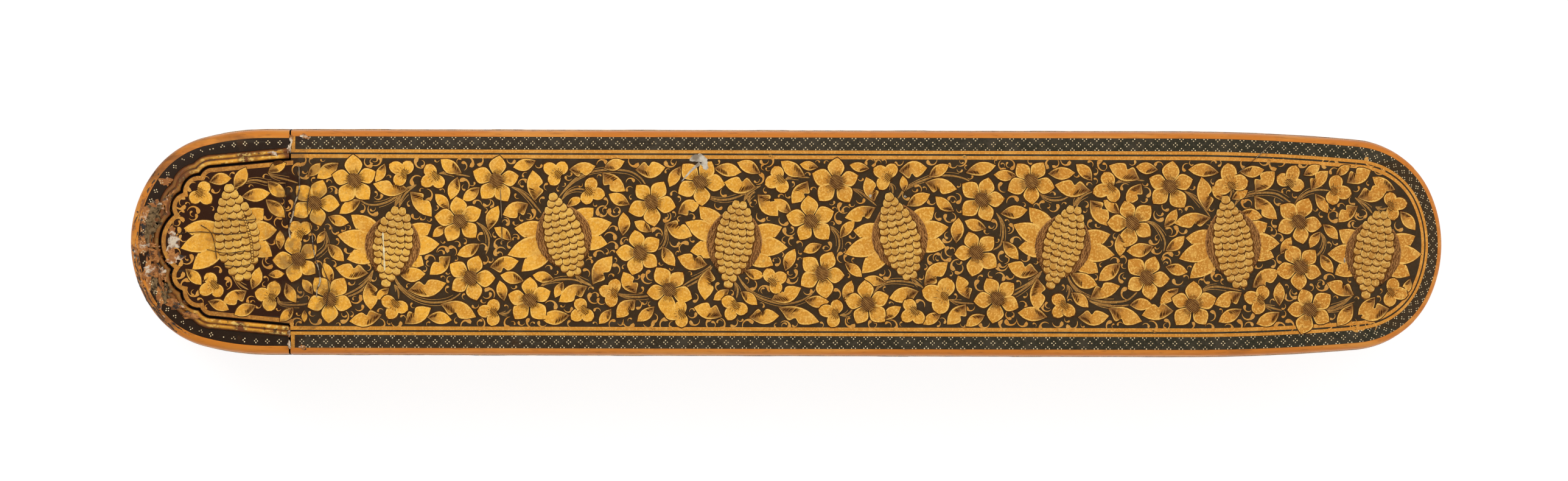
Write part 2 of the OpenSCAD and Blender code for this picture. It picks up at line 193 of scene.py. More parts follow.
LEAVES: Tuple[Leaf, ...] = tuple(Leaf(*seat) for seat in (
    # on the tongue and across the seam
    (344, 301, 380, 295), (385, 312, 404, 277), (441, 285, 470, 270), (397, 325, 444, 319),
    (440, 299, 470, 325), (437, 330, 468, 359), (460, 412, 460, 381), (305, 444, 331, 470),
    (333, 464, 352, 458), (405, 480, 366, 499, S), (342, 497, 376, 511), (420, 504, 385, 519),
    (414, 477, 426, 441), (441, 454, 467, 452), (470, 467, 486, 499), (482, 507, 460, 530),
    # round the second cluster
    (506, 292, 526, 270), (556, 270, 521, 295), (593, 331, 558, 353), (539, 358, 573, 368),
    (538, 403, 565, 431), (534, 381, 521, 402), (546, 468, 532, 433), (605, 451, 551, 442, N),
    (671, 313, 613, 304, N), (632, 271, 617, 301), (674, 317, 709, 358, E), (738, 346, 715, 321),
    (758, 286, 724, 264), (752, 293, 740, 330), (788, 310, 760, 332), (733, 373, 711, 391),
    (788, 403, 751, 421), (740, 423, 706, 453, W), (654, 450, 699, 452), (670, 479, 733, 467, N),
    (605, 464, 609, 511, E), (639, 476, 618, 494), (513, 485, 497, 461), (627, 519, 574, 530, N),
    (665, 534, 708, 508, N), (702, 523, 742, 528), (724, 502, 782, 523, S), (500, 512, 500, 531),
    # round the third
    (880, 266, 843, 277), (878, 332, 875, 282, E), (868, 337, 826, 355, S), (803, 380, 819, 340),
    (840, 397, 812, 376), (805, 441, 852, 431, S), (860, 464, 822, 454), (910, 461, 875, 454),
    (828, 496, 821, 463), (925, 465, 912, 491), (965, 473, 918, 498, S), (936, 520, 888, 524),
    (935, 281, 978, 275, S), (992, 279, 1026, 267), (990, 285, 1027, 316, W), (1034, 338, 1000, 321),
    (932, 340, 956, 328), (1023, 389, 1024, 351), (1070, 383, 1042, 366), (974, 469, 1006, 423, E),
    (1045, 484, 1024, 449, E), (1044, 495, 1013, 524, E), (1004, 510, 984, 534),
    (1044, 281, 1093, 277, N), (1075, 506, 1047, 530),
    # round the fourth
    (1118, 276, 1100, 309), (1173, 279, 1218, 285), (1249, 287, 1211, 269), (1242, 310, 1189, 302, N),
    (1322, 291, 1283, 267), (1344, 277, 1314, 272), (1327, 300, 1301, 336, E), (1114, 353, 1150, 335, S),
    (1245, 322, 1278, 357, E), (1300, 352, 1272, 329), (1093, 369, 1137, 390, N), (1089, 407, 1109, 439),
    (1162, 437, 1113, 424, N), (1165, 443, 1158, 495, E), (1198, 478, 1172, 495), (1217, 481, 1244, 503),
    (1223, 447, 1256, 455), (1290, 447, 1306, 411), (1350, 404, 1320, 416), (1267, 495, 1316, 475, N),
    (1186, 522, 1140, 507, N), (1231, 523, 1280, 521, N), (1279, 507, 1346, 531, S),
    (1322, 495, 1362, 498),
    # round the fifth
    (1428, 279, 1396, 273), (1477, 283, 1523, 278, S), (1526, 293, 1559, 273), (1587, 286, 1636, 274),
    (1436, 333, 1423, 293, E), (1485, 317, 1483, 291), (1520, 302, 1572, 313, S), (1490, 340, 1528, 321),
    (1567, 349, 1537, 325), (1438, 343, 1388, 360, S), (1380, 393, 1404, 365), (1571, 401, 1575, 360),
    (1620, 377, 1585, 365), (1388, 435, 1416, 457), (1455, 465, 1420, 459), (1388, 498, 1399, 463),
    (1509, 481, 1461, 492, S), (1450, 528, 1480, 506), (1546, 517, 1517, 535), (1587, 502, 1556, 535, E),
    (1618, 520, 1587, 538), (1519, 471, 1557, 433, E), (1592, 493, 1574, 455, E),
    # round the sixth
    (1670, 290, 1633, 289), (1722, 287, 1766, 286), (1794, 299, 1768, 272), (1791, 315, 1733, 306, N),
    (1872, 297, 1822, 274, N), (1902, 281, 1866, 276), (1875, 304, 1851, 337, E), (1644, 353, 1688, 347),
    (1791, 331, 1819, 373, E), (1839, 353, 1813, 331), (1648, 398, 1673, 428), (1706, 450, 1655, 436, N),
    (1839, 386, 1840, 423), (1895, 407, 1851, 415), (1841, 435, 1805, 463), (1758, 452, 1803, 471),
    (1791, 492, 1840, 472, N), (1704, 459, 1703, 513, E), (1760, 483, 1788, 507), (1720, 523, 1672, 516),
    (1771, 523, 1822, 521, N), (1821, 508, 1876, 530, S), (1856, 503, 1893, 503),
    (1928, 513, 1876, 520, N),
    # round the seventh
    (2002, 286, 1952, 281), (2037, 284, 2077, 281), (1983, 349, 1974, 293, E), (2009, 332, 1992, 308),
    (2024, 329, 2050, 315), (2062, 317, 2094, 284, W), (2142, 290, 2169, 274), (2154, 314, 2182, 283, W),
    (2061, 324, 2098, 362, W), (2035, 353, 2074, 359), (1913, 375, 1933, 346), (1989, 360, 1929, 369, S),
    (1915, 414, 1946, 390), (1915, 440, 1951, 449), (1936, 476, 1906, 501), (2040, 483, 1995, 502, S),
    (2040, 510, 2002, 531), (2102, 515, 2064, 534), (2102, 504, 2102, 466), (2058, 474, 2101, 446, S),
    (2104, 419, 2121, 392), (2169, 383, 2152, 409), (2161, 321, 2181, 352), (2170, 420, 2190, 450),
    # in the closed end
    (2195, 291, 2218, 274), (2213, 302, 2252, 282, N), (2292, 314, 2255, 293), (2230, 327, 2280, 312, N),
    (2301, 349, 2325, 380), (2230, 341, 2199, 367, W), (2174, 371, 2198, 395), (2224, 487, 2180, 467, N),
    (2222, 502, 2197, 537), (2259, 490, 2231, 519), (2282, 509, 2236, 524, N), (2317, 460, 2304, 485),
))

STEMS: Tuple[Pairs, ...] = (
    ((683, 306), (668, 312), (655, 322), (640, 332), (622, 338), (605, 338), (593, 331), (586, 318)),
    ((648, 343), (654, 330), (664, 316), (684, 305)), ((656, 342), (660, 330), (668, 318), (684, 306)),
    ((721, 287), (735, 286), (755, 289), (772, 292)),
    ((613, 446), (605, 460), (592, 473), (575, 483), (560, 489)),
    ((613, 447), (606, 464), (595, 478), (578, 487), (562, 491)),
    ((645, 449), (652, 465), (664, 480), (684, 493), (708, 499), (733, 497), (750, 489), (764, 476)),
    ((648, 470), (654, 480), (655, 493)),
    ((533, 377), (536, 390), (537, 400), (534, 410), (522, 421), (510, 427)),
    ((838, 308), (855, 316), (870, 329), (882, 343), (889, 352)),
    ((919, 325), (930, 312), (945, 298), (965, 287), (985, 282), (1010, 281), (1035, 284),
     (1052, 294), (1062, 308), (1068, 318)),
    ((923, 330), (932, 319), (945, 313), (957, 313), (965, 316)), ((912, 303), (918, 307)),
    ((944, 452), (955, 462), (972, 471)),
    ((884, 478), (895, 468), (910, 463), (925, 461), (945, 462), (972, 472)),
    ((1010, 483), (1025, 488), (1045, 490), (1065, 488), (1080, 483)),
    ((783, 367), (795, 377), (802, 390), (803, 405), (798, 420)), ((820, 517), (832, 517), (840, 510)),
    ((1093, 369), (1094, 385), (1093, 398), (1085, 410), (1066, 415)),
    ((1160, 313), (1165, 325), (1180, 330), (1200, 329), (1220, 322), (1245, 308)),
    ((1222, 333), (1228, 322), (1238, 314), (1250, 307)), ((1230, 335), (1232, 325), (1240, 316)),
    ((1290, 297), (1300, 293), (1315, 293), (1330, 294)),
    ((1168, 438), (1160, 447), (1150, 455), (1135, 463), (1120, 473)),
    ((1170, 440), (1158, 455), (1140, 467), (1120, 477)),
    ((1212, 455), (1222, 470), (1238, 485), (1258, 495), (1285, 501), (1310, 498), (1330, 488),
     (1342, 475)),
    ((1207, 465), (1212, 478), (1210, 492)), ((1398, 312), (1412, 317), (1425, 327), (1440, 340)),
    ((1475, 328), (1485, 315), (1500, 305), (1520, 297), (1540, 291), (1565, 291), (1588, 297),
     (1600, 308)),
    ((1460, 302), (1466, 310), (1467, 320)),
    ((1435, 485), (1445, 472), (1460, 465), (1480, 464), (1500, 467), (1518, 475)),
    ((1496, 457), (1505, 465), (1520, 478)), ((1558, 494), (1575, 499), (1600, 501)),
    ((1357, 372), (1368, 378), (1377, 390), (1379, 405), (1375, 417)),
    ((1380, 520), (1393, 518), (1402, 508)),
    ((1708, 314), (1714, 325), (1728, 331), (1745, 330), (1757, 324)),
    ((1768, 343), (1773, 330), (1783, 322), (1795, 317)), ((1764, 341), (1768, 332), (1775, 326)),
    ((1833, 303), (1845, 298), (1860, 297), (1880, 299)),
    ((1637, 352), (1645, 365), (1648, 380), (1646, 398), (1640, 408), (1625, 415)),
    ((1712, 447), (1700, 460), (1685, 470), (1665, 480)),
    ((1710, 452), (1695, 467), (1672, 483), (1660, 488)),
    ((1752, 450), (1760, 468), (1775, 483), (1800, 495), (1825, 498), (1850, 496), (1865, 485),
     (1872, 475)),
    ((1753, 470), (1757, 480), (1753, 493)), ((1790, 497), (1810, 503), (1835, 505), (1855, 503)),
    ((1946, 316), (1960, 325), (1975, 340), (1988, 358)),
    ((2027, 342), (2035, 330), (2050, 322), (2070, 319), (2095, 320), (2115, 331), (2128, 343)),
    ((2023, 308), (2023, 318), (2020, 328)),
    ((2126, 340), (2135, 328), (2148, 318), (2165, 314), (2184, 315)),
    ((1970, 490), (1980, 477), (1995, 473), (2015, 475), (2040, 480)), ((2038, 470), (2045, 478)),
    ((2073, 502), (2090, 508), (2106, 512)),
    ((1878, 365), (1895, 370), (1908, 385), (1914, 400), (1912, 415)),
    ((2168, 383), (2175, 395), (2172, 412), (2160, 425), (2150, 432)),
    ((2226, 327), (2245, 341), (2255, 353)), ((2222, 488), (2205, 500), (2185, 508), (2170, 513)),
    ((2172, 516), (2200, 509), (2225, 498)), ((2260, 342), (2270, 346), (2280, 343)),
    ((381, 455), (395, 470), (408, 478)), ((385, 316), (400, 302), (420, 298), (440, 302), (470, 303)),
    ((456, 490), (460, 500), (478, 503), (500, 502), (515, 497)),
    ((440, 285), (450, 292), (470, 297), (490, 303)),
)

CRACKS: Tuple[Crack, ...] = (
    Crack(0.30, ((491, 274), (492, 300), (491, 317), (484, 338), (481, 356), (475, 376), (477, 394))),
    Crack(0.26, ((513, 385), (514, 404), (518, 426), (524, 446), (526, 464), (521, 478), (520, 490))),
    Crack(0.14, ((822, 312), (824, 360), (825, 404))),
    Crack(0.12, ((2092, 236), (2063, 262), (2033, 287))),
)

CRAZING: Tuple[Pairs, ...] = (
    ((292, 386), (330, 383), (372, 387), (404, 385)), ((330, 372), (345, 382), (352, 400), (356, 428)),
    ((372, 360), (398, 364), (421, 362)), ((340, 412), (372, 418), (404, 414)),
    ((366, 437), (392, 440), (412, 436)), ((470, 300), (468, 342), (474, 372)),
    ((512, 300), (505, 340), (512, 386)), ((530, 440), (540, 470), (536, 505)),
)

BEAD_ROW: Pairs = tuple((400.0 + 15.0 * t + 4.0 * math.sin(math.pi * t), 357.0 + 73.0 * t)
                        for t in np.linspace(0.0, 1.0, 17))
# a pale streak on the second cluster: a painted glint
GLINT_STREAK: Pairs = ((629, 384), (630, 402), (631, 424), (632, 446))
SCUFF_TAIL: Pairs = ((1150, 270), (1136, 282), (1120, 300))

SCUFFS: Tuple[Blot, ...] = tuple(Blot(*seat) for seat in (
    (1147, 262, 1.2, 0.8, 3), (1158, 272, 0.6, 0.9, 5), (1430, 324, 0.2, 0.3, 8), (1487, 325, 0.22, 0.2, 9),
    (2209, 430, 0.16, 0.4, 10),
))

TONGUE_GESSO: Tuple[Blot, ...] = tuple(Blot(*seat) for seat in (
    (284, 404, 1.0, 1.7, 31), (287, 426, 1.3, 0.9, 32), (283, 384, 0.7, 1.0, 33), (500, 226, 0.7, 0.4, 34),
    (497, 573, 0.6, 0.4, 35),
))

HEAD_RUBBED: Tuple[Blot, ...] = tuple(Blot(*seat) for seat in (
    (249, 358, 1.5, 2.6, 21), (245, 382, 1.4, 2.0, 22), (270, 482, 1.5, 1.6, 23), (252, 466, 1.0, 1.6, 24),
))

HEAD_FLAKED: Tuple[Blot, ...] = tuple(Blot(*seat) for seat in (
    (279, 336, 0.9, 2.2, 1), (236, 362, 0.7, 2.2, 2), (233, 404, 0.7, 2.2, 3), (258, 421, 1.5, 1.4, 4),
    (243, 452, 0.8, 2.4, 5), (263, 488, 0.8, 1.5, 6), (292, 502, 1.8, 1.0, 7), (272, 300, 1.0, 0.8, 8),
    (314, 520, 1.6, 0.7, 9), (266, 474, 0.8, 1.6, 10),
))

HEAD_GESSO: Tuple[Blot, ...] = tuple(Blot(*seat) for seat in (
    (258, 338, 1.2, 0.7, 11), (251, 405, 1.7, 0.35, 12), (262, 450, 1.9, 1.2, 13), (252, 440, 1.1, 0.6, 14),
    (240, 352, 0.5, 0.8, 15), (276, 462, 0.9, 0.6, 16), (449, 254, 0.7, 0.35, 17),
    (476, 246, 0.35, 0.9, 18), (478, 231, 0.3, 0.7, 19), (475, 548, 0.25, 0.8, 20),
    (475, 568, 0.3, 0.6, 27),
))


@dataclass(frozen=True)
class PhotoView:
    """How the photograph frames the box, so that what is read in it lands on the box."""

    frame_w_px: float = 2576.0
    frame_h_px: float = 790.0
    box_x_px: float = 1291.5
    box_y_px: float = 399.5
    vine_y_px: float = 401.7
    px_per_mm: float = 9.40
    tilt_deg: float = 0.15

    def place(self, px: float, py: float) -> Pair:
        """Turn a pixel on the painted top into a place on the box.

        Args:
            px: Pixel across the photograph.
            py: Pixel down the photograph.

        Returns:
            The place on the box's plan, in millimetres.
        """
        right = (px - self.box_x_px) / self.px_per_mm
        up = (self.vine_y_px - py) / self.px_per_mm
        tilt = math.radians(self.tilt_deg)
        return (right * math.cos(tilt) - up * math.sin(tilt), right * math.sin(tilt) + up * math.cos(tilt))

    def path(self, points: Sequence[Pair]) -> Array:
        """Run a smooth curve through pixels, on the box's plan."""
        return smooth_path([self.place(*point) for point in points])


VIEW = PhotoView()


def smooth_path(points: Sequence[Pair], per_span: int = 5) -> Array:
    """Run a smooth curve through given points.

    Args:
        points: The points in order.
        per_span: Samples between two points.

    Returns:
        The curve's samples, one row each.
    """
    p = np.asarray(points, float)
    p = np.vstack([2 * p[0] - p[1], p, 2 * p[-1] - p[-2]])
    rows = []
    for i in range(1, len(p) - 2):
        for t in np.arange(per_span) / per_span:
            a, b, c, d = p[i - 1:i + 3]
            rows.append(0.5 * (2 * b + (c - a) * t + (2 * a - 5 * b + 4 * c - d) * t ** 2
                               + (3 * b - a - 3 * c + d) * t ** 3))
    rows.append(p[-2])
    return np.array(rows)


def along(profile: Profile, u: Array) -> Array:
    """Read a drawn profile at given places."""
    table = np.asarray(profile, float)
    return np.interp(u, table[:, 0], table[:, 1])


class Bench:
    """The workbench: operators that model a mesh as by hand. Angles are in degrees."""

    CREASE = 38.0
    ROUND = 40.0
    FLAT = 0.4
    HOOP_OVAL = 1.5

    @staticmethod
    def clear() -> None:
        """Leave edit mode and deselect everything."""
        if bpy.context.mode != "OBJECT":
            bpy.ops.object.mode_set(mode="OBJECT")
        bpy.ops.object.select_all(action="DESELECT")

    @staticmethod
    def take(piece: Piece) -> None:
        """Make a piece the only selected one, and active.

        Args:
            piece: The object to take.
        """
        Bench.clear()
        piece.select_set(True)
        bpy.context.view_layer.objects.active = piece

    @staticmethod
    def edit(piece: Piece, *steps: Callable[[], object]) -> None:
        """Run operators on the whole of a piece in edit mode.

        Args:
            piece: The object to work on.
            steps: The operators, called in order with everything selected at first.
        """
        Bench.take(piece)
        bpy.ops.object.mode_set(mode="EDIT")
        bpy.ops.mesh.select_all(action="SELECT")
        for step in steps:
            step()
        bpy.ops.object.mode_set(mode="OBJECT")

    @staticmethod
    def points(piece: Piece) -> Array:
        """Read a piece's points.

        Args:
            piece: The object to read.

        Returns:
            Its points, one row each.
        """
        flat = np.zeros(len(piece.data.vertices) * 3)
        piece.data.vertices.foreach_get("co", flat)
        return flat.reshape(-1, 3)

    @staticmethod
    def shape(piece: Piece, move: Callable[[Array], Array]) -> None:
        """Move a piece's points by a rule that takes and returns them, one row each."""
        piece.data.vertices.foreach_set("co", move(Bench.points(piece)).ravel())
        piece.data.update()

    @staticmethod
    def modify(piece: Piece, kind: str, **settings: object) -> None:
        """Add a modifier and apply it.

        Args:
            piece: The object to change.
            kind: The modifier's type.
            settings: The modifier's own settings.
        """
        Bench.take(piece)
        modifier = piece.modifiers.new(kind.lower(), kind)
        for key, value in settings.items():
            setattr(modifier, key, value)
        bpy.ops.object.modifier_apply(modifier=modifier.name)

    @staticmethod
    def smooth(piece: Piece, angle: float = 35.0) -> None:
        """Shade a piece smooth, with creases kept where faces meet at more than an angle in degrees."""
        Bench.take(piece)
        bpy.ops.object.shade_smooth_by_angle(angle=math.radians(angle))

    @staticmethod
    def link(name: str, mesh: bpy.types.Mesh) -> Piece:
        """Put a mesh in the scene as a new piece.

        Args:
            name: The new piece's name.
            mesh: Its mesh.

        Returns:
            The new piece.
        """
        mesh.name = name
        piece = bpy.data.objects.new(name, mesh)
        bpy.context.scene.collection.objects.link(piece)
        return piece

    @staticmethod
    def sheet(name: str, points: Array, faces: Sequence[Face]) -> Piece:
        """Make a new piece from points and faces.

        Args:
            name: The new piece's name.
            points: Its points in millimetres, one row each.
            faces: Its faces.

        Returns:
            The new piece.
        """
        mesh = bpy.data.meshes.new(name)
        mesh.from_pydata((points * MM).tolist(), [], faces)
        return Bench.link(name, mesh)

    @staticmethod
    def flatten(piece: Piece, angle: float) -> None:
        """Merge faces that meet at less than an angle."""
        Bench.edit(piece, lambda: bpy.ops.mesh.dissolve_limited(angle_limit=math.radians(angle)))

    @staticmethod
    def even(piece: Piece) -> None:
        """Shade a piece smooth up to its creases and even its shading out."""
        Bench.smooth(piece, Bench.CREASE)
        Bench.modify(piece, "WEIGHTED_NORMAL", keep_sharp=True)

    @staticmethod
    def copy_node(node: str, name: str) -> Piece:
        """Copy a CAD node's mesh as a new piece, its loose triangles merged.

        Args:
            node: The CAD node's name.
            name: The new piece's name.

        Returns:
            The new piece.
        """
        piece = Bench.link(name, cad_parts[node].data.copy())
        Bench.edit(piece, bpy.ops.mesh.customdata_custom_splitnormals_clear,
                   lambda: bpy.ops.mesh.remove_doubles(threshold=1e-6))
        return piece

    @staticmethod
    def make_room(piece: Piece, head: bool) -> None:
        """Draw a skin in a little, so that its paint stays inside the case's box.

        Args:
            piece: The head or the sleeve.
            head: True for the head.
        """
        rim = FORM.rim(head)

        def drawn_in(co: Array) -> Array:
            """Move the points of the sides inwards.

            Args:
                co: Points in metres, one row each.

            Returns:
                The points moved.
            """
            made = co / MM
            gap = np.hypot(made[:, None, 0] - rim[:, 1], made[:, None, 1] - rim[:, 2])
            near = gap.argmin(axis=1)
            z = made[:, 2]
            skin = (gap.min(axis=1) < FORM.skin_reach) & (z > FORM.skin_foot)
            skin &= z <= FORM.shoulder_z + FORM.skin_over
            made[skin, :2] -= rim[near[skin], 3:5] * FORM.paint_room
            return made * MM

        Bench.shape(piece, drawn_in)

    @staticmethod
    def soften(piece: Piece, width: float, segments: int = 2, angle: float = 50.0) -> None:
        """Round a piece's hard edges a little and even out its shading.

        Args:
            piece: The object to soften.
            width: Width of the rounding in millimetres.
            segments: Faces across the rounding.
            angle: Edges sharper than this, in degrees, are rounded.
        """
        Bench.flatten(piece, Bench.FLAT)
        Bench.modify(piece, "BEVEL", width=width * MM, segments=segments, limit_method="ANGLE",
                     angle_limit=math.radians(angle), harden_normals=False)
        Bench.even(piece)

    @staticmethod
    def drop(piece: Piece, unwanted: Callable[[bpy.types.MeshPolygon], bool]) -> None:
        """Delete the faces of a piece that a rule picks.

        Args:
            piece: The object to cut.
            unwanted: Tells whether a face goes.
        """
        Bench.edit(piece, lambda: bpy.ops.mesh.select_mode(type="FACE"),
                   lambda: bpy.ops.mesh.select_all(action="DESELECT"))
        for face in piece.data.polygons:
            face.select = unwanted(face)
        bpy.ops.object.mode_set(mode="EDIT")
        bpy.ops.mesh.delete(type="FACE")
        bpy.ops.mesh.select_mode(type="VERT")
        bpy.ops.object.mode_set(mode="OBJECT")

    @staticmethod
    def settle(name: str) -> Piece:
        """Name the primitive just added, bring it to the origin unturned, and smooth it.

        Args:
            name: The new piece's name.

        Returns:
            The piece.
        """
        piece = bpy.context.object
        piece.name = piece.data.name = name
        bpy.ops.object.transform_apply(location=True, rotation=True, scale=True)
        Bench.smooth(piece, Bench.ROUND)
        return piece

    @staticmethod
    def hoop(name: str, centre: Triple, radius: float, thick: float) -> Piece:
        """Add a ring round an axis along X, a little longer along it than it is thick.

        Args:
            name: The new piece's name.
            centre: Its middle in millimetres.
            radius: Radius of its middle line.
            thick: Radius of its section.

        Returns:
            The ring.
        """
        Bench.clear()
        bpy.ops.mesh.primitive_torus_add(major_segments=36, minor_segments=8, major_radius=radius * MM,
                                         minor_radius=thick * MM, location=Vector(centre) * MM,
                                         rotation=(0.0, math.radians(90.0), 0.0))
        Bench.edit(bpy.context.object, lambda: bpy.ops.transform.resize(
            value=(Bench.HOOP_OVAL, 1.0, 1.0), center_override=Vector(centre) * MM))
        return Bench.settle(name)

    @staticmethod
    def stud(name: str, centre: Triple, radius: float, height: float) -> Piece:
        """Add a low dome, to stand as a rivet's head or as a dried pool.

        Args:
            name: The new piece's name.
            centre: Its middle in millimetres.
            radius: Its radius.
            height: Height of its top above its middle.

        Returns:
            The dome.
        """
        Bench.clear()
        middle = Vector(centre) * MM
        bpy.ops.mesh.primitive_uv_sphere_add(segments=32, ring_count=12, radius=MM, location=middle)
        Bench.edit(bpy.context.object,
                   lambda: bpy.ops.transform.resize(value=(radius, radius, height), center_override=middle),
                   lambda: bpy.ops.mesh.bisect(plane_co=middle - Vector((0.0, 0.0, 0.5 * height * MM)),
                                               plane_no=(0.0, 0.0, 1.0), use_fill=True, clear_inner=True))
        return Bench.settle(name)

    @staticmethod
    def deliver(piece: Piece, material: Material, body: Body, slot: Slot, *nodes: str) -> None:
        """Dress a finished piece and hang it on its body.

        Args:
            piece: The finished object.
            material: Its finish.
            body: The body it rides on.
            slot: The record's material slot; not used.
            nodes: CAD nodes that the piece stands for.
        """
        piece.data.materials.clear()
        piece.data.materials.append(material)
        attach(piece, body.value)
        if nodes:
            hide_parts(*nodes)
        log.info("%s: %d faces on %s", piece.name, len(piece.data.polygons), body.value)


class Flow:
    """A value or colour on its way through a material's nodes."""

    def __init__(self, recipe: "Recipe", socket: bpy.types.NodeSocket) -> None:
        """Wrap one output socket of a recipe."""
        self.recipe = recipe
        self.socket = socket

    def _math(self, operation: str, first: object, second: object) -> "Flow":
        """Add a Math node on two values."""
        return self.recipe.node("ShaderNodeMath", {"operation": operation}, {0: first, 1: second})

    def __add__(self, other: object) -> "Flow":
        """Add a value."""
        return self._math("ADD", self, other)

    def __sub__(self, other: object) -> "Flow":
        """Take a value away."""
        return self._math("SUBTRACT", self, other)

    def __rsub__(self, other: object) -> "Flow":
        """Take this from a value."""
        return self._math("SUBTRACT", other, self)

    def __mul__(self, other: object) -> "Flow":
        """Multiply by a value."""
        return self._math("MULTIPLY", self, other)

    __radd__ = __add__
    __rmul__ = __mul__


class Recipe:
    """The nodes of one material or world, and the one way in which nodes are added to them."""

    RAGGED = 0.55
    VARNISH_ROUGHNESS = 0.12

    def __init__(self, owner: bpy.types.ID) -> None:
        """Empty the nodes of a material or a world.

        Args:
            owner: The material or world.
        """
        owner.use_nodes = True
        self.owner = owner
        self.tree = owner.node_tree
        self.tree.nodes.clear()

    def node(self, kind: str, settings: Optional[Dict[str, object]] = None,
             sockets: Optional[Dict[object, object]] = None, out: object = 0) -> Optional[Flow]:
        """Add a node.

        Args:
            kind: The node's type.
            settings: Its own settings, set first.
            sockets: Values or flows for its inputs, by name or number.
            out: The output that is handed on, by name or number.

        Returns:
            The flow that leaves the node, if any does.
        """
        made = self.tree.nodes.new(kind)
        for key, value in (settings or {}).items():
            setattr(made, key, value)
        for key, value in (sockets or {}).items():
            if isinstance(value, Flow):
                self.tree.links.new(value.socket, made.inputs[key])
            else:
                made.inputs[key].default_value = value
        return Flow(self, made.outputs[out]) if made.outputs else None

    def where(self, stretch: Triple = (1.0, 1.0, 1.0)) -> Flow:
        """Object coordinates, stretched."""
        place = self.node("ShaderNodeTexCoord", out="Object")
        return self.node("ShaderNodeMapping", {}, {"Vector": place, "Scale": stretch})

    def axis(self, name: str) -> Flow:
        """One Object coordinate in metres."""
        place = self.node("ShaderNodeTexCoord", out="Object")
        return self.node("ShaderNodeSeparateXYZ", {}, {0: place}, name)

    def noise(self, scale: float, detail: float = 3.0,
              stretch: Triple = (1.0, 1.0, 1.0)) -> Flow:
        """Cloudy noise, with features about 1 / scale metres wide.

        Args:
            scale: Features per metre.
            detail: Finer octaves.
            stretch: Factors on the object's coordinates.

        Returns:
            The noise, from 0 to 1.
        """
        sockets = {"Vector": self.where(stretch), "Scale": scale, "Detail": detail,
                   "Roughness": self.RAGGED}
        return self.node("ShaderNodeTexNoise", {}, sockets)

    def cells(self, scale: float, kind: str = "F1") -> Flow:
        """Distance in a field of cells about 1 / scale metres wide."""
        sockets = {"Vector": self.where(), "Scale": scale}
        return self.node("ShaderNodeTexVoronoi", {"feature": kind}, sockets)

    def step(self, value: Flow, low: float, high: float) -> Flow:
        """Rise smoothly from 0 to 1 as a value goes from low to high."""
        return self.node("ShaderNodeMapRange", {"interpolation_type": "SMOOTHSTEP"},
                         {0: value, 1: low, 2: high, 3: 0.0, 4: 1.0})

    def mix(self, share: object, first: object, second: object) -> Flow:
        """Mix two colours."""
        made = [(*c, 1.0) if isinstance(c, tuple) else c for c in (first, second)]
        return self.node("ShaderNodeMix", {"data_type": "RGBA"}, {0: share, 6: made[0], 7: made[1]}, 2)

    def over(self, tone: object, colour: object, value: Flow, low: float, high: float,
             share: float = 1.0) -> Flow:
        """Lay a share of a colour over a tone, more of it as a value goes from low to high."""
        return self.mix(self.step(value, low, high) * share, tone, colour)

    def bump(self, height: Flow, depth: float, strength: float = 1.0) -> Flow:
        """Turn a height from 0 to 1 into relief that is depth millimetres deep."""
        sockets = {"Height": height, "Distance": depth * MM, "Strength": strength}
        return self.node("ShaderNodeBump", {}, sockets)

    def surface(self, colour: object, roughness: object, normal: Optional[Flow] = None,
                metallic: object = 0.0, coat: object = 0.0, specular: float = 0.5) -> Material:
        """Close the recipe with a Principled surface.

        Args:
            colour: Base colour.
            roughness: Roughness.
            normal: Relief, if any.
            metallic: Share of metal.
            coat: Weight of the varnish.
            specular: Strength of the plain reflection.

        Returns:
            The finished material.
        """
        sockets: Dict[object, object] = {
            "Base Color": (*colour, 1.0) if isinstance(colour, tuple) else colour,
            "Roughness": roughness, "Metallic": metallic, "Coat Weight": coat,
            "Coat Roughness": self.VARNISH_ROUGHNESS, "Specular IOR Level": specular}
        if normal is not None:
            sockets["Normal"] = normal
        shader = self.node("ShaderNodeBsdfPrincipled", {}, sockets)
        self.node("ShaderNodeOutputMaterial", {}, {"Surface": shader})
        return self.owner

    def seen(self) -> Flow:
        """Tell rays that show the background from rays that light the box.

        Returns:
            1 for the first and 0 for the second.
        """
        path = [self.node("ShaderNodeLightPath", out=kind)
                for kind in ("Is Camera Ray", "Is Glossy Ray", "Is Transmission Ray")]
        return self.node("ShaderNodeClamp", {}, {0: path[0] + path[1] + path[2], 1: 0.0, 2: 1.0})


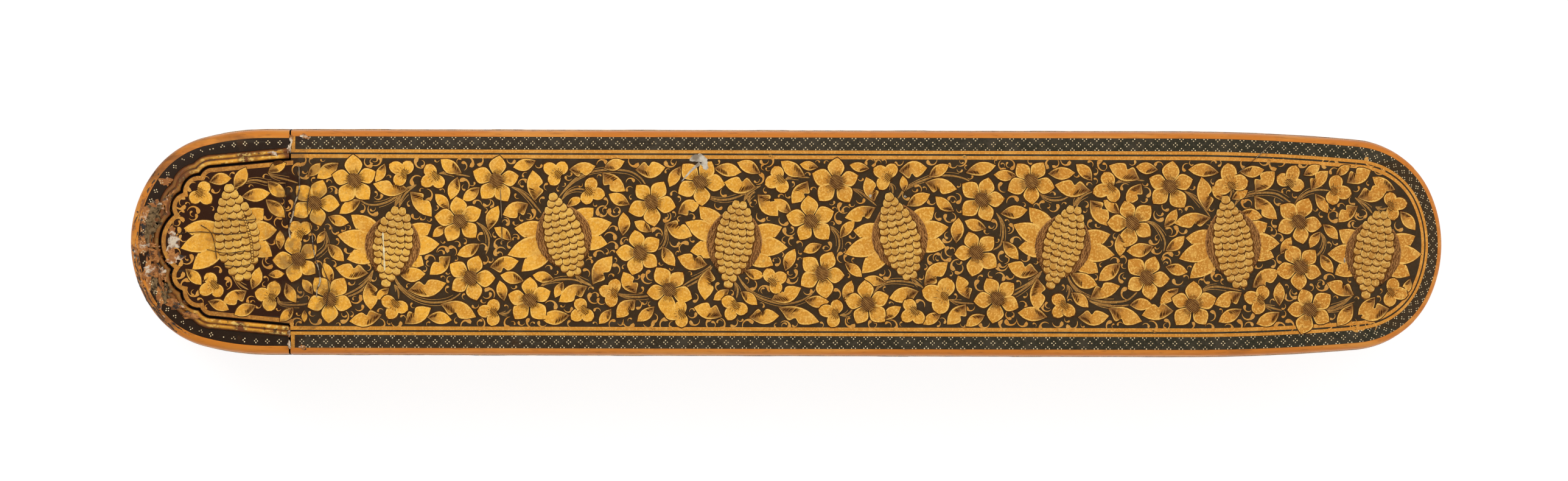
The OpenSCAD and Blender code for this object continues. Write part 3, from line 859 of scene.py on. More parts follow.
@dataclass(frozen=True)
class BlackLacquer:
    """The black ground, varnished, with dust, rubbing and hair scratches."""

    name: str = "black_lacquer_ground"
    ground: Colour = (0.030, 0.0265, 0.0145)
    warm: Colour = (0.038, 0.0245, 0.0125)
    haze: Colour = (0.072, 0.056, 0.036)
    rubbed: Colour = (0.10, 0.042, 0.014)
    varnish: Colour = (0.033, 0.0088, 0.003)
    fleck: Colour = (0.16, 0.11, 0.05)
    streak: Colour = (0.22, 0.12, 0.05)
    field: Colour = (0.053, 0.0258, 0.0085)
    field_from: float = 0.0142
    field_to: float = 0.015
    rub_share: float = 0.35

    def material(self) -> Material:
        """Make the material.

        Returns:
            The finished material.
        """
        r = Recipe(bpy.data.materials.new(self.name))
        dust = r.noise(420.0, 5.0)
        hair = r.noise(900.0, 2.0, (0.06, 1.0, 1.0))
        tone = r.over(self.warm, self.ground, r.axis("X"), -0.07, 0.07)
        tone = r.over(tone, self.haze, dust, 0.42, 0.75, 0.8)
        tone = r.over(tone, self.haze, r.noise(2600.0, 3.0), 0.42, 0.66, 0.5)
        across = r.axis("Y") * r.axis("Y")
        tone = r.over(tone, self.field, across, self.field_to ** 2, self.field_from ** 2, 0.6)
        tone = r.over(tone, self.varnish, r.axis("X") + (dust - 0.5) * 0.02, -0.0825, -0.0895, 0.85)
        tone = r.over(tone, self.haze, hair, 0.66, 0.72, 0.35)
        tone = r.over(tone, self.rubbed, r.noise(160.0, 6.0), 0.62, 0.74, self.rub_share)
        tone = r.over(tone, self.fleck, r.cells(2300.0), 0.13, 0.05, 0.25)
        under = r.step(r.axis("Z"), 0.0006, 0.0001)
        tone = r.mix(under * r.step(r.noise(75.0, 6.0), 0.4, 0.62) * 0.85, tone, self.rubbed)
        streak = r.step(r.noise(420.0, 4.0, (0.15, 1.0, 1.0)), 0.56, 0.66)
        tone = r.mix(under * streak * 0.6, tone, self.streak)
        rough = 0.27 + dust * 0.16 + r.step(hair, 0.62, 0.72) * 0.1
        relief = dust * 0.6 + hair * 0.3 + r.noise(2500.0, 2.0) * 0.2
        return r.surface(tone, rough, r.bump(relief, 0.02, 0.6), specular=0.065)


@dataclass(frozen=True)
class GoldPaint:
    """Powdered gold under yellowed varnish, browner at the closed end and brighter at the head, partly its
    own tone and partly painted glare.
    """

    name: str
    left: Colour = (0.925, 0.44, 0.034)
    right: Colour = (0.50, 0.194, 0.0165)
    shade: Colour = (0.56, 0.205, 0.013)
    pale: Colour = (1.0, 0.61, 0.14)
    bare: Colour = (0.13, 0.050, 0.012)
    wear: float = 0.3
    base_shade: float = 0.0
    tip_shade: float = 0.0
    rim_light: float = 0.0

    def material(self) -> Material:
        """Make the material.

        Returns:
            The finished material.
        """
        r = Recipe(bpy.data.materials.new(self.name))
        cloud = r.noise(170.0, 4.0)
        grain = r.noise(3000.0, 2.0)
        # gold brighter towards the head: partly its own tone, partly painted glare
        tone = r.over(self.left, self.right, r.axis("X"), -0.085, 0.105)
        tone = r.over(tone, self.shade, cloud, 0.42, 0.68, 0.6)
        tone = r.over(tone, self.pale, r.noise(420.0, 3.0), 0.46, 0.72, 0.35)
        tone = r.over(tone, self.shade, r.noise(1700.0, 5.0), 0.44, 0.66, 0.4)
        tone = r.over(tone, self.pale, grain, 0.48, 0.66, 0.55)
        # tiny pale specks: painted glints of the gold powder
        tone = r.over(tone, self.pale, r.cells(2500.0), 0.16, 0.05, 0.6)
        amber = r.step(r.axis("X") + (cloud - 0.5) * 0.03, -0.076, -0.092)
        tone = r.mix(amber * r.step(r.noise(260.0, 4.0), 0.36, 0.66) * 0.4, tone, self.shade)
        grown = r.node("ShaderNodeAttribute", {"attribute_name": GROWTH}, out="Fac")
        if self.tip_shade:
            tone = r.over(tone, self.shade, grown, 0.62, 1.05, self.tip_shade)
        if self.base_shade:
            ragged = grown + r.noise(1900.0, 3.0) * 0.5
            tone = r.over(tone, self.shade, ragged, 1.05, 0.45, 0.6 * self.base_shade)
            tone = r.over(tone, self.bare, ragged, 0.78, 0.35, self.base_shade)
        if self.rim_light:
            near = r.node("ShaderNodeAttribute", {"attribute_name": RIM}, out="Fac") + (grain - 0.5) * 0.3
            tone = r.over(tone, self.pale, near, 0.76, 0.9, self.rim_light)
        tone = r.over(tone, self.bare, r.noise(1150.0, 4.0), 0.62, 0.72, self.wear)
        seam = r.step(r.axis("X"), -0.0935, -0.0885) * r.step(r.axis("X"), -0.0765, -0.0835)
        tone = r.mix(seam * r.step(r.noise(420.0, 5.0), 0.44, 0.6) * 0.55, tone, self.bare)
        rough = 0.38 + grain * 0.22
        return r.surface(tone, rough, r.bump(grain + cloud * 0.5, 0.025, 0.6), metallic=0.1, specular=0.25)


@dataclass(frozen=True)
class ShadedRubbedGilt:
    """The moulding's gilding: gold with painted highlights on its crests, painted shade in its hollows, and
    worn away towards the tip.
    """

    name: str = "rubbed_and_shaded_gilt"
    gold: Colour = (0.80, 0.36, 0.032)
    pale: Colour = (1.0, 0.66, 0.18)
    brown: Colour = (0.17, 0.048, 0.008)
    dark: Colour = (0.028, 0.012, 0.005)
    crest: Pair = (0.03792, 0.03824)
    tip_x: Pair = (-0.108, -0.098)

    def material(self) -> Material:
        """Make the material.

        Returns:
            The finished material.
        """
        r = Recipe(bpy.data.materials.new(self.name))
        patch = r.noise(260.0, 5.0)
        fine = r.noise(1300.0, 4.0)
        height = r.axis("Z") + (patch - 0.5) * 0.0006
        # kept: gold on the crests where light catches them, painted shade in the hollows, and less gold
        # towards the worn tip
        kept = r.step(height, *self.crest) * (0.16 + r.step(r.axis("X"), *self.tip_x) * 0.84)
        tone = r.over(self.brown, self.dark, fine, 0.42, 0.62, 0.6)
        tone = r.mix(kept * r.step(patch, 0.62, 0.42), tone, self.gold)
        # pale streaks on the crests: painted highlights
        tone = r.mix(kept * r.step(fine, 0.5, 0.64) * 0.7, tone, self.pale)
        tone = r.over(tone, self.dark, r.noise(700.0, 4.0), 0.62, 0.68, 0.8)
        return r.surface(tone, 0.32 + fine * 0.25, r.bump(patch + fine, 0.06, 0.8), metallic=kept * 0.15,
                         specular=0.22)


@dataclass(frozen=True)
class FlakedLacquer:
    """Paint that has come off in flakes: brown size, black remains and bare white gesso."""

    name: str
    brown: Colour = (0.33, 0.115, 0.024)
    tan: Colour = (0.54, 0.22, 0.055)
    black: Colour = (0.018, 0.013, 0.010)
    gesso: Colour = (0.72, 0.58, 0.42)
    gesso_from: float = 0.56

    def material(self) -> Material:
        """Make the material.

        Returns:
            The finished material.
        """
        r = Recipe(bpy.data.materials.new(self.name))
        broad = r.noise(330.0, 5.0)
        fine = r.noise(1500.0, 4.0)
        mixed = broad * 0.7 + fine * 0.3
        tone = r.over(self.brown, self.tan, fine, 0.42, 0.6)
        tone = r.over(tone, self.black, r.noise(450.0, 5.0, (1.0, 1.0, 1.6)), 0.52, 0.6)
        tone = r.over(tone, self.gesso, mixed, self.gesso_from, self.gesso_from + 0.09)
        tone = r.over(tone, self.brown, r.noise(2300.0, 3.0), 0.56, 0.64, 0.6)
        return r.surface(tone, 0.5 + fine * 0.3, r.bump(mixed + fine * 0.5, 0.12, 0.9), specular=0.3)


@dataclass(frozen=True)
class EdgeLacquer:
    """The orange edge of the case, streaked along it and rubbed to brown."""

    name: str = "orange_edge_lacquer"
    orange: Colour = (0.66, 0.205, 0.022)
    yellow: Colour = (0.80, 0.33, 0.06)
    brown: Colour = (0.17, 0.055, 0.014)
    wear: float = 0.75
    patch_from: float = 0.55

    def material(self) -> Material:
        """Make the material.

        Returns:
            The finished material.
        """
        r = Recipe(bpy.data.materials.new(self.name))
        streak = r.noise(420.0, 4.0, (0.12, 1.0, 1.0))
        patch = r.noise(110.0, 5.0, (0.4, 1.0, 1.0))
        fine = r.noise(1700.0, 3.0, (0.25, 1.0, 1.0))
        tone = r.over(self.orange, self.yellow, streak, 0.45, 0.72, 0.75)
        tone = r.over(tone, self.brown, fine, 0.52, 0.74, 0.35)
        tone = r.over(tone, self.brown, patch, self.patch_from, self.patch_from + 0.12, self.wear)
        rough = 0.34 + fine * 0.25
        return r.surface(tone, rough, r.bump(streak + fine * 0.6, 0.04, 0.7), specular=0.2)


@dataclass(frozen=True)
class PlainPaint:
    """A small painted or bare detail of one colour, mottled."""

    name: str
    colour: Colour
    other: Colour
    grain: float = 900.0
    roughness: float = 0.5
    share: float = 0.8
    shine: float = 0.35

    def material(self) -> Material:
        """Make the material.

        Returns:
            The finished material.
        """
        r = Recipe(bpy.data.materials.new(self.name))
        mottle = r.noise(self.grain, 5.0)
        tone = r.over(self.colour, self.other, mottle, 0.4, 0.66, self.share)
        return r.surface(tone, self.roughness + mottle * 0.2, r.bump(mottle, 0.05, 0.6),
                         specular=self.shine)


@dataclass(frozen=True)
class RedLacquer:
    """The plain red lacquer inside, brushed along the box and darkened by ink and use."""

    name: str = "red_tray_lacquer"
    red: Colour = (0.23, 0.026, 0.014)
    dark: Colour = (0.055, 0.011, 0.008)
    worn: Colour = (0.34, 0.10, 0.04)

    def material(self) -> Material:
        """Make the material.

        Returns:
            The finished material.
        """
        r = Recipe(bpy.data.materials.new(self.name))
        brush = r.noise(700.0, 3.0, (0.05, 1.0, 1.0))
        stain = r.noise(60.0, 6.0)
        fine = r.noise(1500.0, 3.0)
        tone = r.over(self.red, self.dark, stain, 0.5, 0.7, 0.8)
        tone = r.over(tone, self.worn, brush, 0.5, 0.75, 0.4)
        tone = r.over(tone, self.dark, fine, 0.6, 0.7, 0.35)
        return r.surface(tone, 0.3 + stain * 0.25, r.bump(brush + fine * 0.4, 0.04, 0.7), coat=0.08,
                         specular=0.22)


@dataclass(frozen=True)
class DullBrass:
    """Turned brass with patches of brown tarnish and fine turning lines."""

    name: str = "dull_brass"
    bright: Colour = (0.74, 0.53, 0.21)
    tarnish: Colour = (0.27, 0.155, 0.05)

    def material(self) -> Material:
        """Make the material.

        Returns:
            The finished material.
        """
        r = Recipe(bpy.data.materials.new(self.name))
        cloud = r.noise(190.0, 6.0)
        fine = r.noise(1900.0, 3.0, (1.0, 0.2, 1.0))
        tone = r.over(self.bright, self.tarnish, cloud, 0.46, 0.68, 0.85)
        tone = r.over(tone, self.tarnish, fine, 0.55, 0.7, 0.3)
        rough = 0.25 + r.step(cloud, 0.42, 0.7) * 0.3 + fine * 0.08
        return r.surface(tone, rough, r.bump(fine + cloud * 0.6, 0.02, 0.6), metallic=1.0 - cloud * 0.3)


@dataclass(frozen=True)
class PolishedReed:
    """A polished reed: long fibres, brown freckles, and a nib stained by ink beyond a place along X."""

    name: str
    nib_x: float
    cane: Colour = (0.50, 0.28, 0.09)
    fibre: Colour = (0.24, 0.11, 0.03)
    ink: Colour = (0.015, 0.013, 0.012)

    def material(self) -> Material:
        """Make the material.

        Returns:
            The finished material.
        """
        r = Recipe(bpy.data.materials.new(self.name))
        fibre = r.noise(1500.0, 3.0, (0.03, 1.0, 1.0))
        freckle = r.noise(330.0, 4.0, (0.35, 1.0, 1.0))
        ragged = r.axis("X") + (r.noise(400.0, 4.0, (0.3, 1.0, 1.0)) - 0.5) * 0.012
        tone = r.over(self.cane, self.fibre, fibre, 0.46, 0.68, 0.7)
        tone = r.over(tone, self.fibre, freckle, 0.58, 0.72, 0.6)
        tone = r.over(tone, self.ink, ragged, (self.nib_x - 3.0) * MM, self.nib_x * MM, 0.92)
        return r.surface(tone, 0.3 + fibre * 0.2, r.bump(fibre, 0.06, 0.8), coat=0.15)


@dataclass(frozen=True)
class OldBone:
    """Polished bone with fine pores along it, yellowed and stained."""

    name: str = "old_bone"
    bone: Colour = (0.74, 0.63, 0.42)
    yellow: Colour = (0.55, 0.37, 0.16)
    pore: Colour = (0.20, 0.11, 0.05)

    def material(self) -> Material:
        """Make the material.

        Returns:
            The finished material.
        """
        r = Recipe(bpy.data.materials.new(self.name))
        cloud = r.noise(110.0, 5.0, (0.4, 1.0, 1.0))
        pore = r.noise(2600.0, 2.0, (0.05, 1.0, 1.0))
        tone = r.over(self.bone, self.yellow, cloud, 0.42, 0.7, 0.7)
        tone = r.over(tone, self.pore, pore, 0.62, 0.7, 0.55)
        return r.surface(tone, 0.3 + cloud * 0.2, r.bump(1.0 - pore, 0.03, 0.6), coat=0.1)


@dataclass(frozen=True)
class GroundSteel:
    """Forged steel, ground across, with grey patina and a few rust freckles."""

    name: str = "ground_steel"
    steel: Colour = (0.50, 0.50, 0.49)
    patina: Colour = (0.16, 0.155, 0.15)
    rust: Colour = (0.20, 0.075, 0.025)

    def material(self) -> Material:
        """Make the material.

        Returns:
            The finished material.
        """
        r = Recipe(bpy.data.materials.new(self.name))
        grind = r.noise(1900.0, 2.0, (1.0, 0.05, 0.05))
        cloud = r.noise(210.0, 6.0)
        tone = r.over(self.steel, self.patina, cloud, 0.45, 0.7, 0.8)
        spots = r.step(r.noise(650.0, 4.0), 0.64, 0.72)
        tone = r.mix(spots * 0.7, tone, self.rust)
        return r.surface(tone, 0.28 + grind * 0.2, r.bump(grind, 0.02, 0.7), metallic=1.0 - spots * 0.7)


class FinishSet:
    """Every material, made once."""

    def __init__(self) -> None:
        """Mix every finish."""
        # lacquers
        self.ground = BlackLacquer().material()
        self.head_ground = BlackLacquer("worn_head_lacquer", varnish=(0.022, 0.0105, 0.0055),
                                        rub_share=0.7).material()
        self.red = RedLacquer().material()
        self.edge = EdgeLacquer(wear=0.55, patch_from=0.6).material()
        # the head's edge: brighter yellow streaks, partly its own streaks and partly painted highlights
        self.head_edge = EdgeLacquer("worn_orange_edge", orange=(0.70, 0.225, 0.022),
                                     yellow=(0.90, 0.42, 0.08), wear=0.8, patch_from=0.5).material()
        self.flaked = FlakedLacquer("flaked_lacquer").material()
        self.bare = FlakedLacquer("flaked_to_gesso", gesso_from=0.48).material()
        # gold paints
        self.gold = GoldPaint("gold_leaf_paint", base_shade=0.78, rim_light=0.6).material()
        self.petal_gold = GoldPaint("gold_petal_paint", base_shade=0.25, rim_light=0.6).material()
        self.stem_gold = GoldPaint("gold_stem_paint", (0.42, 0.20, 0.035), (0.36, 0.165, 0.03),
                                   (0.24, 0.10, 0.02), (0.60, 0.33, 0.08), wear=0.5).material()
        self.scroll_gold = GoldPaint("gold_scroll_paint", (0.64, 0.30, 0.05), (0.52, 0.24, 0.045),
                                     pale=(0.78, 0.43, 0.11), wear=0.4).material()
        self.bead_gold = GoldPaint("pale_bead_paint", (0.82, 0.45, 0.065), (0.56, 0.265, 0.038),
                                   (0.40, 0.16, 0.016), (0.93, 0.60, 0.17), wear=0.4, tip_shade=0.7,
                                   rim_light=0.4).material()
        self.tongue_gold = GoldPaint("tongue_line_paint", (0.56, 0.22, 0.02), (0.56, 0.22, 0.02),
                                     (0.25, 0.085, 0.012), (0.74, 0.37, 0.07), wear=0.7).material()
        self.line_gold = GoldPaint("gold_border_paint", (0.64, 0.265, 0.026), (0.60, 0.225, 0.021),
                                   pale=(0.84, 0.43, 0.085), wear=0.4).material()
        self.eye_gold = GoldPaint("brown_eye_paint", (0.38, 0.175, 0.036), (0.31, 0.135, 0.03),
                                  (0.22, 0.095, 0.02), (0.54, 0.28, 0.065)).material()
        self.crescent = GoldPaint("brown_crescent_paint", (0.34, 0.135, 0.026), (0.27, 0.105, 0.021),
                                  (0.17, 0.062, 0.012), (0.52, 0.25, 0.06)).material()
        self.gilt = ShadedRubbedGilt().material()
        # plain paints, stains and scars, and a painted glint
        self.bead_gap = PlainPaint("bead_gaps", (0.12, 0.038, 0.004), (0.22, 0.085, 0.012), grain=1200.0,
                                   shine=0.08).material()
        self.ink = PlainPaint("brown_ink", (0.055, 0.015, 0.0015), (0.15, 0.054, 0.008), grain=1500.0,
                              shine=0.08).material()
        self.umber = PlainPaint("umber_ground", (0.055, 0.016, 0.002), (0.14, 0.05, 0.008), grain=1200.0,
                                shine=0.08).material()
        self.rubbed = PlainPaint("rubbed_band", (0.25, 0.155, 0.07), (0.035, 0.02, 0.009), grain=1700.0,
                                 roughness=0.6, share=1.0, shine=0.1).material()
        # painted glint: a pale streak of light on the second cluster
        self.glint = PlainPaint("painted_glint_streak", (0.95, 0.84, 0.52), (0.80, 0.55, 0.18),
                                roughness=0.4).material()
        # dark crazing and cracks, and on the top the painted shadows along its cracks
        self.crackle = PlainPaint("dark_crackle", (0.045, 0.022, 0.010), (0.10, 0.05, 0.02)).material()
        self.cream = PlainPaint("cream_dots", (0.84, 0.66, 0.38), (0.62, 0.43, 0.2), grain=700.0,
                                roughness=0.45).material()
        self.gesso = PlainPaint("bare_gesso", (0.66, 0.58, 0.46), (0.22, 0.16, 0.10), grain=600.0,
                                roughness=0.75, share=0.9).material()
        self.scuff = PlainPaint("pale_scuffs", (0.60, 0.49, 0.32), (0.30, 0.20, 0.10),
                                roughness=0.6).material()
        self.dry_ink = PlainPaint("dried_ink", (0.010, 0.009, 0.008), (0.03, 0.024, 0.018), grain=700.0,
                                  roughness=0.3, shine=0.5).material()
        self.reed_node = PlainPaint("reed_node", (0.22, 0.10, 0.03), (0.12, 0.05, 0.016), grain=1400.0,
                                    roughness=0.35).material()
        # what the tools and the inkwell are made of
        self.brass = DullBrass().material()
        self.bone = OldBone().material()
        self.steel = GroundSteel().material()


@dataclass(frozen=True)
class CaseForm:
    """Outline and section of the closed box, as in the part's source."""

    length: float = 230.0
    width: float = 39.8
    height: float = 38.0
    crest_z: float = 38.37
    side_bow: float = 0.5
    base_edge_r: float = 2.2
    shoulder_r: float = 1.5
    camber: float = 0.7
    camber_run: float = 10.0
    tip_r: float = 22.5
    flank_r: float = 350.0
    flank_from: float = 46.0
    flank_to: float = 15.0
    head_tip_r: float = 21.0
    head_flank_r: float = 46.0
    head_flank_from: float = 24.5
    head_flank_to: float = 12.8
    seam_x: float = -86.6
    seam_gap: float = 0.3
    paint_room: float = 0.07
    skin_reach: float = 1.0
    skin_foot: float = 0.5
    skin_over: float = 0.2

    @property
    def shoulder_z(self) -> float:
        """Height at which the side meets the shoulder."""
        return self.height - self.camber - self.shoulder_r

    def bow(self, z: Array) -> Array:
        """How far the side stands in from the plan at a height."""
        return self.side_bow * ((z / self.height - 0.5) * 2.0) ** 2

    def _end(self, tip: float, flank: float, start: float, stop: float) -> Array:
        """Sample one rounded end from its flank to its tip.

        Args:
            tip: Radius at the tip.
            flank: Radius of the flank.
            start: Where the flank starts, from the tip.
            stop: Where the flank stops, from the tip.

        Returns:
            Rows of distance from the tip, side and normal.
        """
        half = self.width / 2.0
        a1 = math.asin((start - stop) / flank)
        h = half - flank * (1.0 - math.cos(a1))
        corner = ((stop - tip) ** 2 + h ** 2 - tip ** 2) / 2.0 / (
            math.sin(a1) * (tip - stop) + math.cos(a1) * h - tip)
        cx = stop + corner * math.sin(a1)
        cy = h - corner * math.cos(a1)
        a2 = math.atan2(tip - cx, cy)
        rows = []
        for depth, side, r, lo, hi, count in ((start, half - flank, flank, 0.0, a1, 24),
                                              (cx, cy, corner, a1, a2, 40),
                                              (tip, 0.0, tip, a2, math.pi / 2, 24)):
            a = np.linspace(lo, hi, count)
            out, up = np.sin(a), np.cos(a)
            rows.append(np.column_stack([depth - r * out, side + r * up, out, up]))
        return np.vstack(rows)

    def rim(self, head: bool, step: float = 0.5) -> Array:
        """Walk round the plan of the head or of the sleeve, counter-clockwise, from seam to seam.

        Args:
            head: True for the head, False for the sleeve.
            step: Distance between samples.

        Returns:
            Rows of distance walked, x, y and the outward normal.
        """
        half_len, half_w = self.length / 2.0, self.width / 2.0
        if head:
            end = self._end(self.head_tip_r, self.head_flank_r, self.head_flank_from,
                            self.head_flank_to)
            end = np.column_stack([end[:, 0] - half_len, end[:, 1], -end[:, 2], end[:, 3]])
            start = [self.seam_x - self.seam_gap, half_w, 0.0, 1.0]
        else:
            end = self._end(self.tip_r, self.flank_r, self.flank_from, self.flank_to)
            end = np.column_stack([half_len - end[:, 0], -end[:, 1], end[:, 2], -end[:, 3]])
            start = [self.seam_x, -half_w, 0.0, -1.0]
        rows = np.vstack([start, end])
        rows = np.vstack([rows, rows[::-1] * np.array([1.0, -1.0, 1.0, -1.0])])
        gap = np.hypot(*np.diff(rows[:, :2], axis=0).T)
        rows = rows[np.concatenate([[True], gap > 1e-6])]
        walked = np.concatenate([[0.0], np.cumsum(np.hypot(*np.diff(rows[:, :2], axis=0).T))])
        s = np.linspace(0.0, walked[-1], int(walked[-1] / step) + 1)
        return np.column_stack([s] + [np.interp(s, walked, rows[:, i]) for i in range(4)])

    def inset_at(self, z: Array) -> Array:
        """How far the side or base edge stands in from the plan at a height."""
        low = 1.0 - np.sqrt(1.0 - np.clip(1.0 - z / self.base_edge_r, 0.0, 1.0) ** 2)
        return self.bow(np.maximum(z, self.base_edge_r)) + self.base_edge_r * low

    def top_at(self, inset: Array) -> Array:
        """Find the shoulder or the top.

        Args:
            inset: Distance in from the plan.

        Returns:
            Its height there.
        """
        first = float(self.bow(np.array(self.shoulder_z)))
        camber_start = first + self.shoulder_r
        t = np.radians(np.array([0.0, 25.0, 50.0, 75.0]))
        q = np.array([0.1, 0.4, 0.7, 1.0])
        inward = np.concatenate([first + self.shoulder_r * (1.0 - np.cos(t)),
                                 camber_start + (self.camber_run - camber_start) * q])
        up = np.concatenate([self.shoulder_z + self.shoulder_r * np.sin(t),
                             self.height - self.camber * (1.0 - q) ** 2])
        return np.interp(inset, inward, up)


FORM = CaseForm()


@dataclass(frozen=True)
class TonguePlan:
    """Plan of the lobed tongue: a union of discs and a tapering root, as in the part's source."""

    length: float = 22.7
    root_half_w: float = 14.5
    lobe_half_w: float = 13.0
    overlap: float = 2.0
    tip_lobe_r: float = 6.0
    side_lobes: Tuple[Triple, ...] = ((4.6, 7.0, 2.7), (6.7, 4.3, 2.9), (9.0, 2.3, 2.3))
    hub_back: float = 9.0

    @property
    def hub_x(self) -> float:
        """Where the rays that read the outline start."""
        return FORM.seam_x - self.hub_back

    def outline(self, grow: float, end_x: float, count: int = 241) -> Array:
        """Read the outline along rays from a hub inside the tongue.

        Args:
            grow: Distance outwards from the tongue's own edge.
            end_x: Where both ends of the outline are cut off, towards the seam.
            count: Number of rays.

        Returns:
            The outline from the back end round the tip to the front end, one row each.
        """
        tip_x = FORM.seam_x - self.length
        lobes = [(tip_x + a, self.lobe_half_w - b, r) for a, b, r in self.side_lobes]
        discs = [(tip_x + self.tip_lobe_r, 0.0, self.tip_lobe_r + grow)]
        discs += [(x, side * y, r + grow) for x, y, r in lobes for side in (-1, 1)]
        root = np.array([FORM.seam_x + self.overlap, self.root_half_w + grow])
        knee = np.array([lobes[2][0], self.lobe_half_w + grow])
        reach = math.atan2(root[1], root[0] - self.hub_x)
        angles = np.linspace(reach, 2.0 * math.pi - reach, count)
        rows = []
        for a in angles:
            d = np.array([math.cos(a), math.sin(a)])
            far = 0.0
            for x, y, r in discs:
                c = np.array([x - self.hub_x, y])
                b = c @ d
                inside = b * b - c @ c + r * r
                if inside >= 0.0:
                    far = max(far, b + math.sqrt(inside))
            for side in (-1.0, 1.0):
                p = (root - [self.hub_x, 0.0]) * [1.0, side]
                q = (knee - [self.hub_x, 0.0]) * [1.0, side]
                cross = d[0] * (q - p)[1] - d[1] * (q - p)[0]
                if abs(cross) > 1e-9:
                    t = (p[0] * (q - p)[1] - p[1] * (q - p)[0]) / cross
                    w = (p[0] * d[1] - p[1] * d[0]) / cross
                    if t > 0.0 and -1e-6 <= w <= 1.0 + 1e-6:
                        far = max(far, t)
            rows.append([self.hub_x + far * d[0], far * d[1]])
        made = np.array(rows)
        slope = (root[1] - knee[1]) / (root[0] - knee[0])
        cut = made[:, 0] > end_x
        made[cut, 1] = np.sign(made[cut, 1]) * (knee[1] + (end_x - knee[0]) * slope)
        made[cut, 0] = end_x
        return made

    def holds(self, x: float, y: float, grow: float) -> bool:
        """Tell whether a place is on the tongue.

        Args:
            x: Place along the box.
            y: Place across the box.
            grow: Distance by which the tongue is grown.

        Returns:
            True where it is.
        """
        tip_x = FORM.seam_x - self.length
        if math.hypot(x - tip_x - self.tip_lobe_r, y) < self.tip_lobe_r + grow:
            return True
        for a, b, r in self.side_lobes:
            if math.hypot(x - tip_x - a, abs(y) - self.lobe_half_w + b) < r + grow:
                return True
        last = self.side_lobes[-1]
        return x > tip_x + last[0] and abs(y) < self.lobe_half_w + grow


TONGUE = TonguePlan()


class Ground:
    """A surface that flat designs are laid on."""

    def lay(self, flat: Array, lift: Array) -> Array:
        """Lay flat points on the surface. Places and results are in millimetres."""
        raise NotImplementedError


class TopGround(Ground):
    """The top of CAD nodes, met from above. What is far below the top is open."""

    OPEN_BELOW = 4.0

    def __init__(self, nodes: Sequence[str], spare_z: float) -> None:
        """Gather the nodes' faces.

        Args:
            nodes: Names of the CAD nodes.
            spare_z: Height where there is nothing below.
        """
        points: List[Vector] = []
        faces: List[Face] = []
        for name in nodes:
            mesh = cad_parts[name].data
            first = len(points)
            points += [v.co.copy() for v in mesh.vertices]
            faces += [tuple(first + i for i in p.vertices) for p in mesh.polygons]
        self.tree = BVHTree.FromPolygons(points, faces)
        self.spare_z = spare_z

    def lay(self, flat: Array, lift: Array) -> Array:
        """Drop flat points on the top.

        Args:
            flat: Places in the design, one row each.
            lift: Height of each point above the surface.

        Returns:
            The points in the box's frame.
        """
        above = 2.0 * FORM.height * MM
        down = Vector((0.0, 0.0, -1.0))
        z = np.empty(len(flat))
        for i, (x, y) in enumerate(flat):
            hit = self.tree.ray_cast(Vector((x * MM, y * MM, above)), down)[0]
            is_open = hit is None or hit.z < (self.spare_z - self.OPEN_BELOW) * MM
            z[i] = self.spare_z if is_open else hit.z / MM
        return np.column_stack([flat, np.minimum(z + lift, FORM.crest_z)])


class SkinGround(Ground):
    """The case's skin: distance walked round it, and either distance in from its edge or height."""

    SIDE_LIFT = 0.2
    SQUEEZE_EASE = 1.5

    def __init__(self, head: bool, by_height: bool, tip_squeeze: float = 0.0) -> None:
        """Choose the ground and what its second coordinate means.

        Args:
            head: True for the head, False for the sleeve.
            by_height: True for height, False for distance in.
            tip_squeeze: Share by which the border narrows round the tip.
        """
        self.rim = FORM.rim(head)
        self.by_height = by_height
        self.tip_squeeze = tip_squeeze
        self.total = float(self.rim[-1, 0])

    def lay(self, flat: Array, lift: Array) -> Array:
        """Lay flat points on the skin.

        Args:
            flat: Places in the design, one row each.
            lift: Height of each point above the surface.

        Returns:
            The points in the box's frame.
        """
        s = flat[:, 0]
        x, y, nx, ny = (np.interp(s, self.rim[:, 0], self.rim[:, i]) for i in range(1, 5))
        first = float(FORM.bow(np.array(FORM.shoulder_z)))
        if self.by_height:
            z = flat[:, 1].copy()
            inset = FORM.inset_at(z) + FORM.paint_room
            lift = lift * self.SIDE_LIFT
            out, up = np.ones(len(s)), np.zeros(len(s))
        else:
            d = flat[:, 1] * (1.0 - self.tip_squeeze * np.clip(np.abs(nx), 0.0, 1.0) ** self.SQUEEZE_EASE)
            on_top = d >= first
            z = np.where(on_top, FORM.top_at(d), FORM.shoulder_z - (first - d))
            inset = np.where(on_top, d, FORM.bow(z) + FORM.paint_room)
            turn = np.clip((d - first) / FORM.shoulder_r, 0.0, 1.0)
            up = np.sin(np.arccos(1.0 - turn))
            out = 1.0 - turn
        reach = lift * out - inset
        return np.column_stack([x + reach * nx, y + reach * ny, z + lift * up])


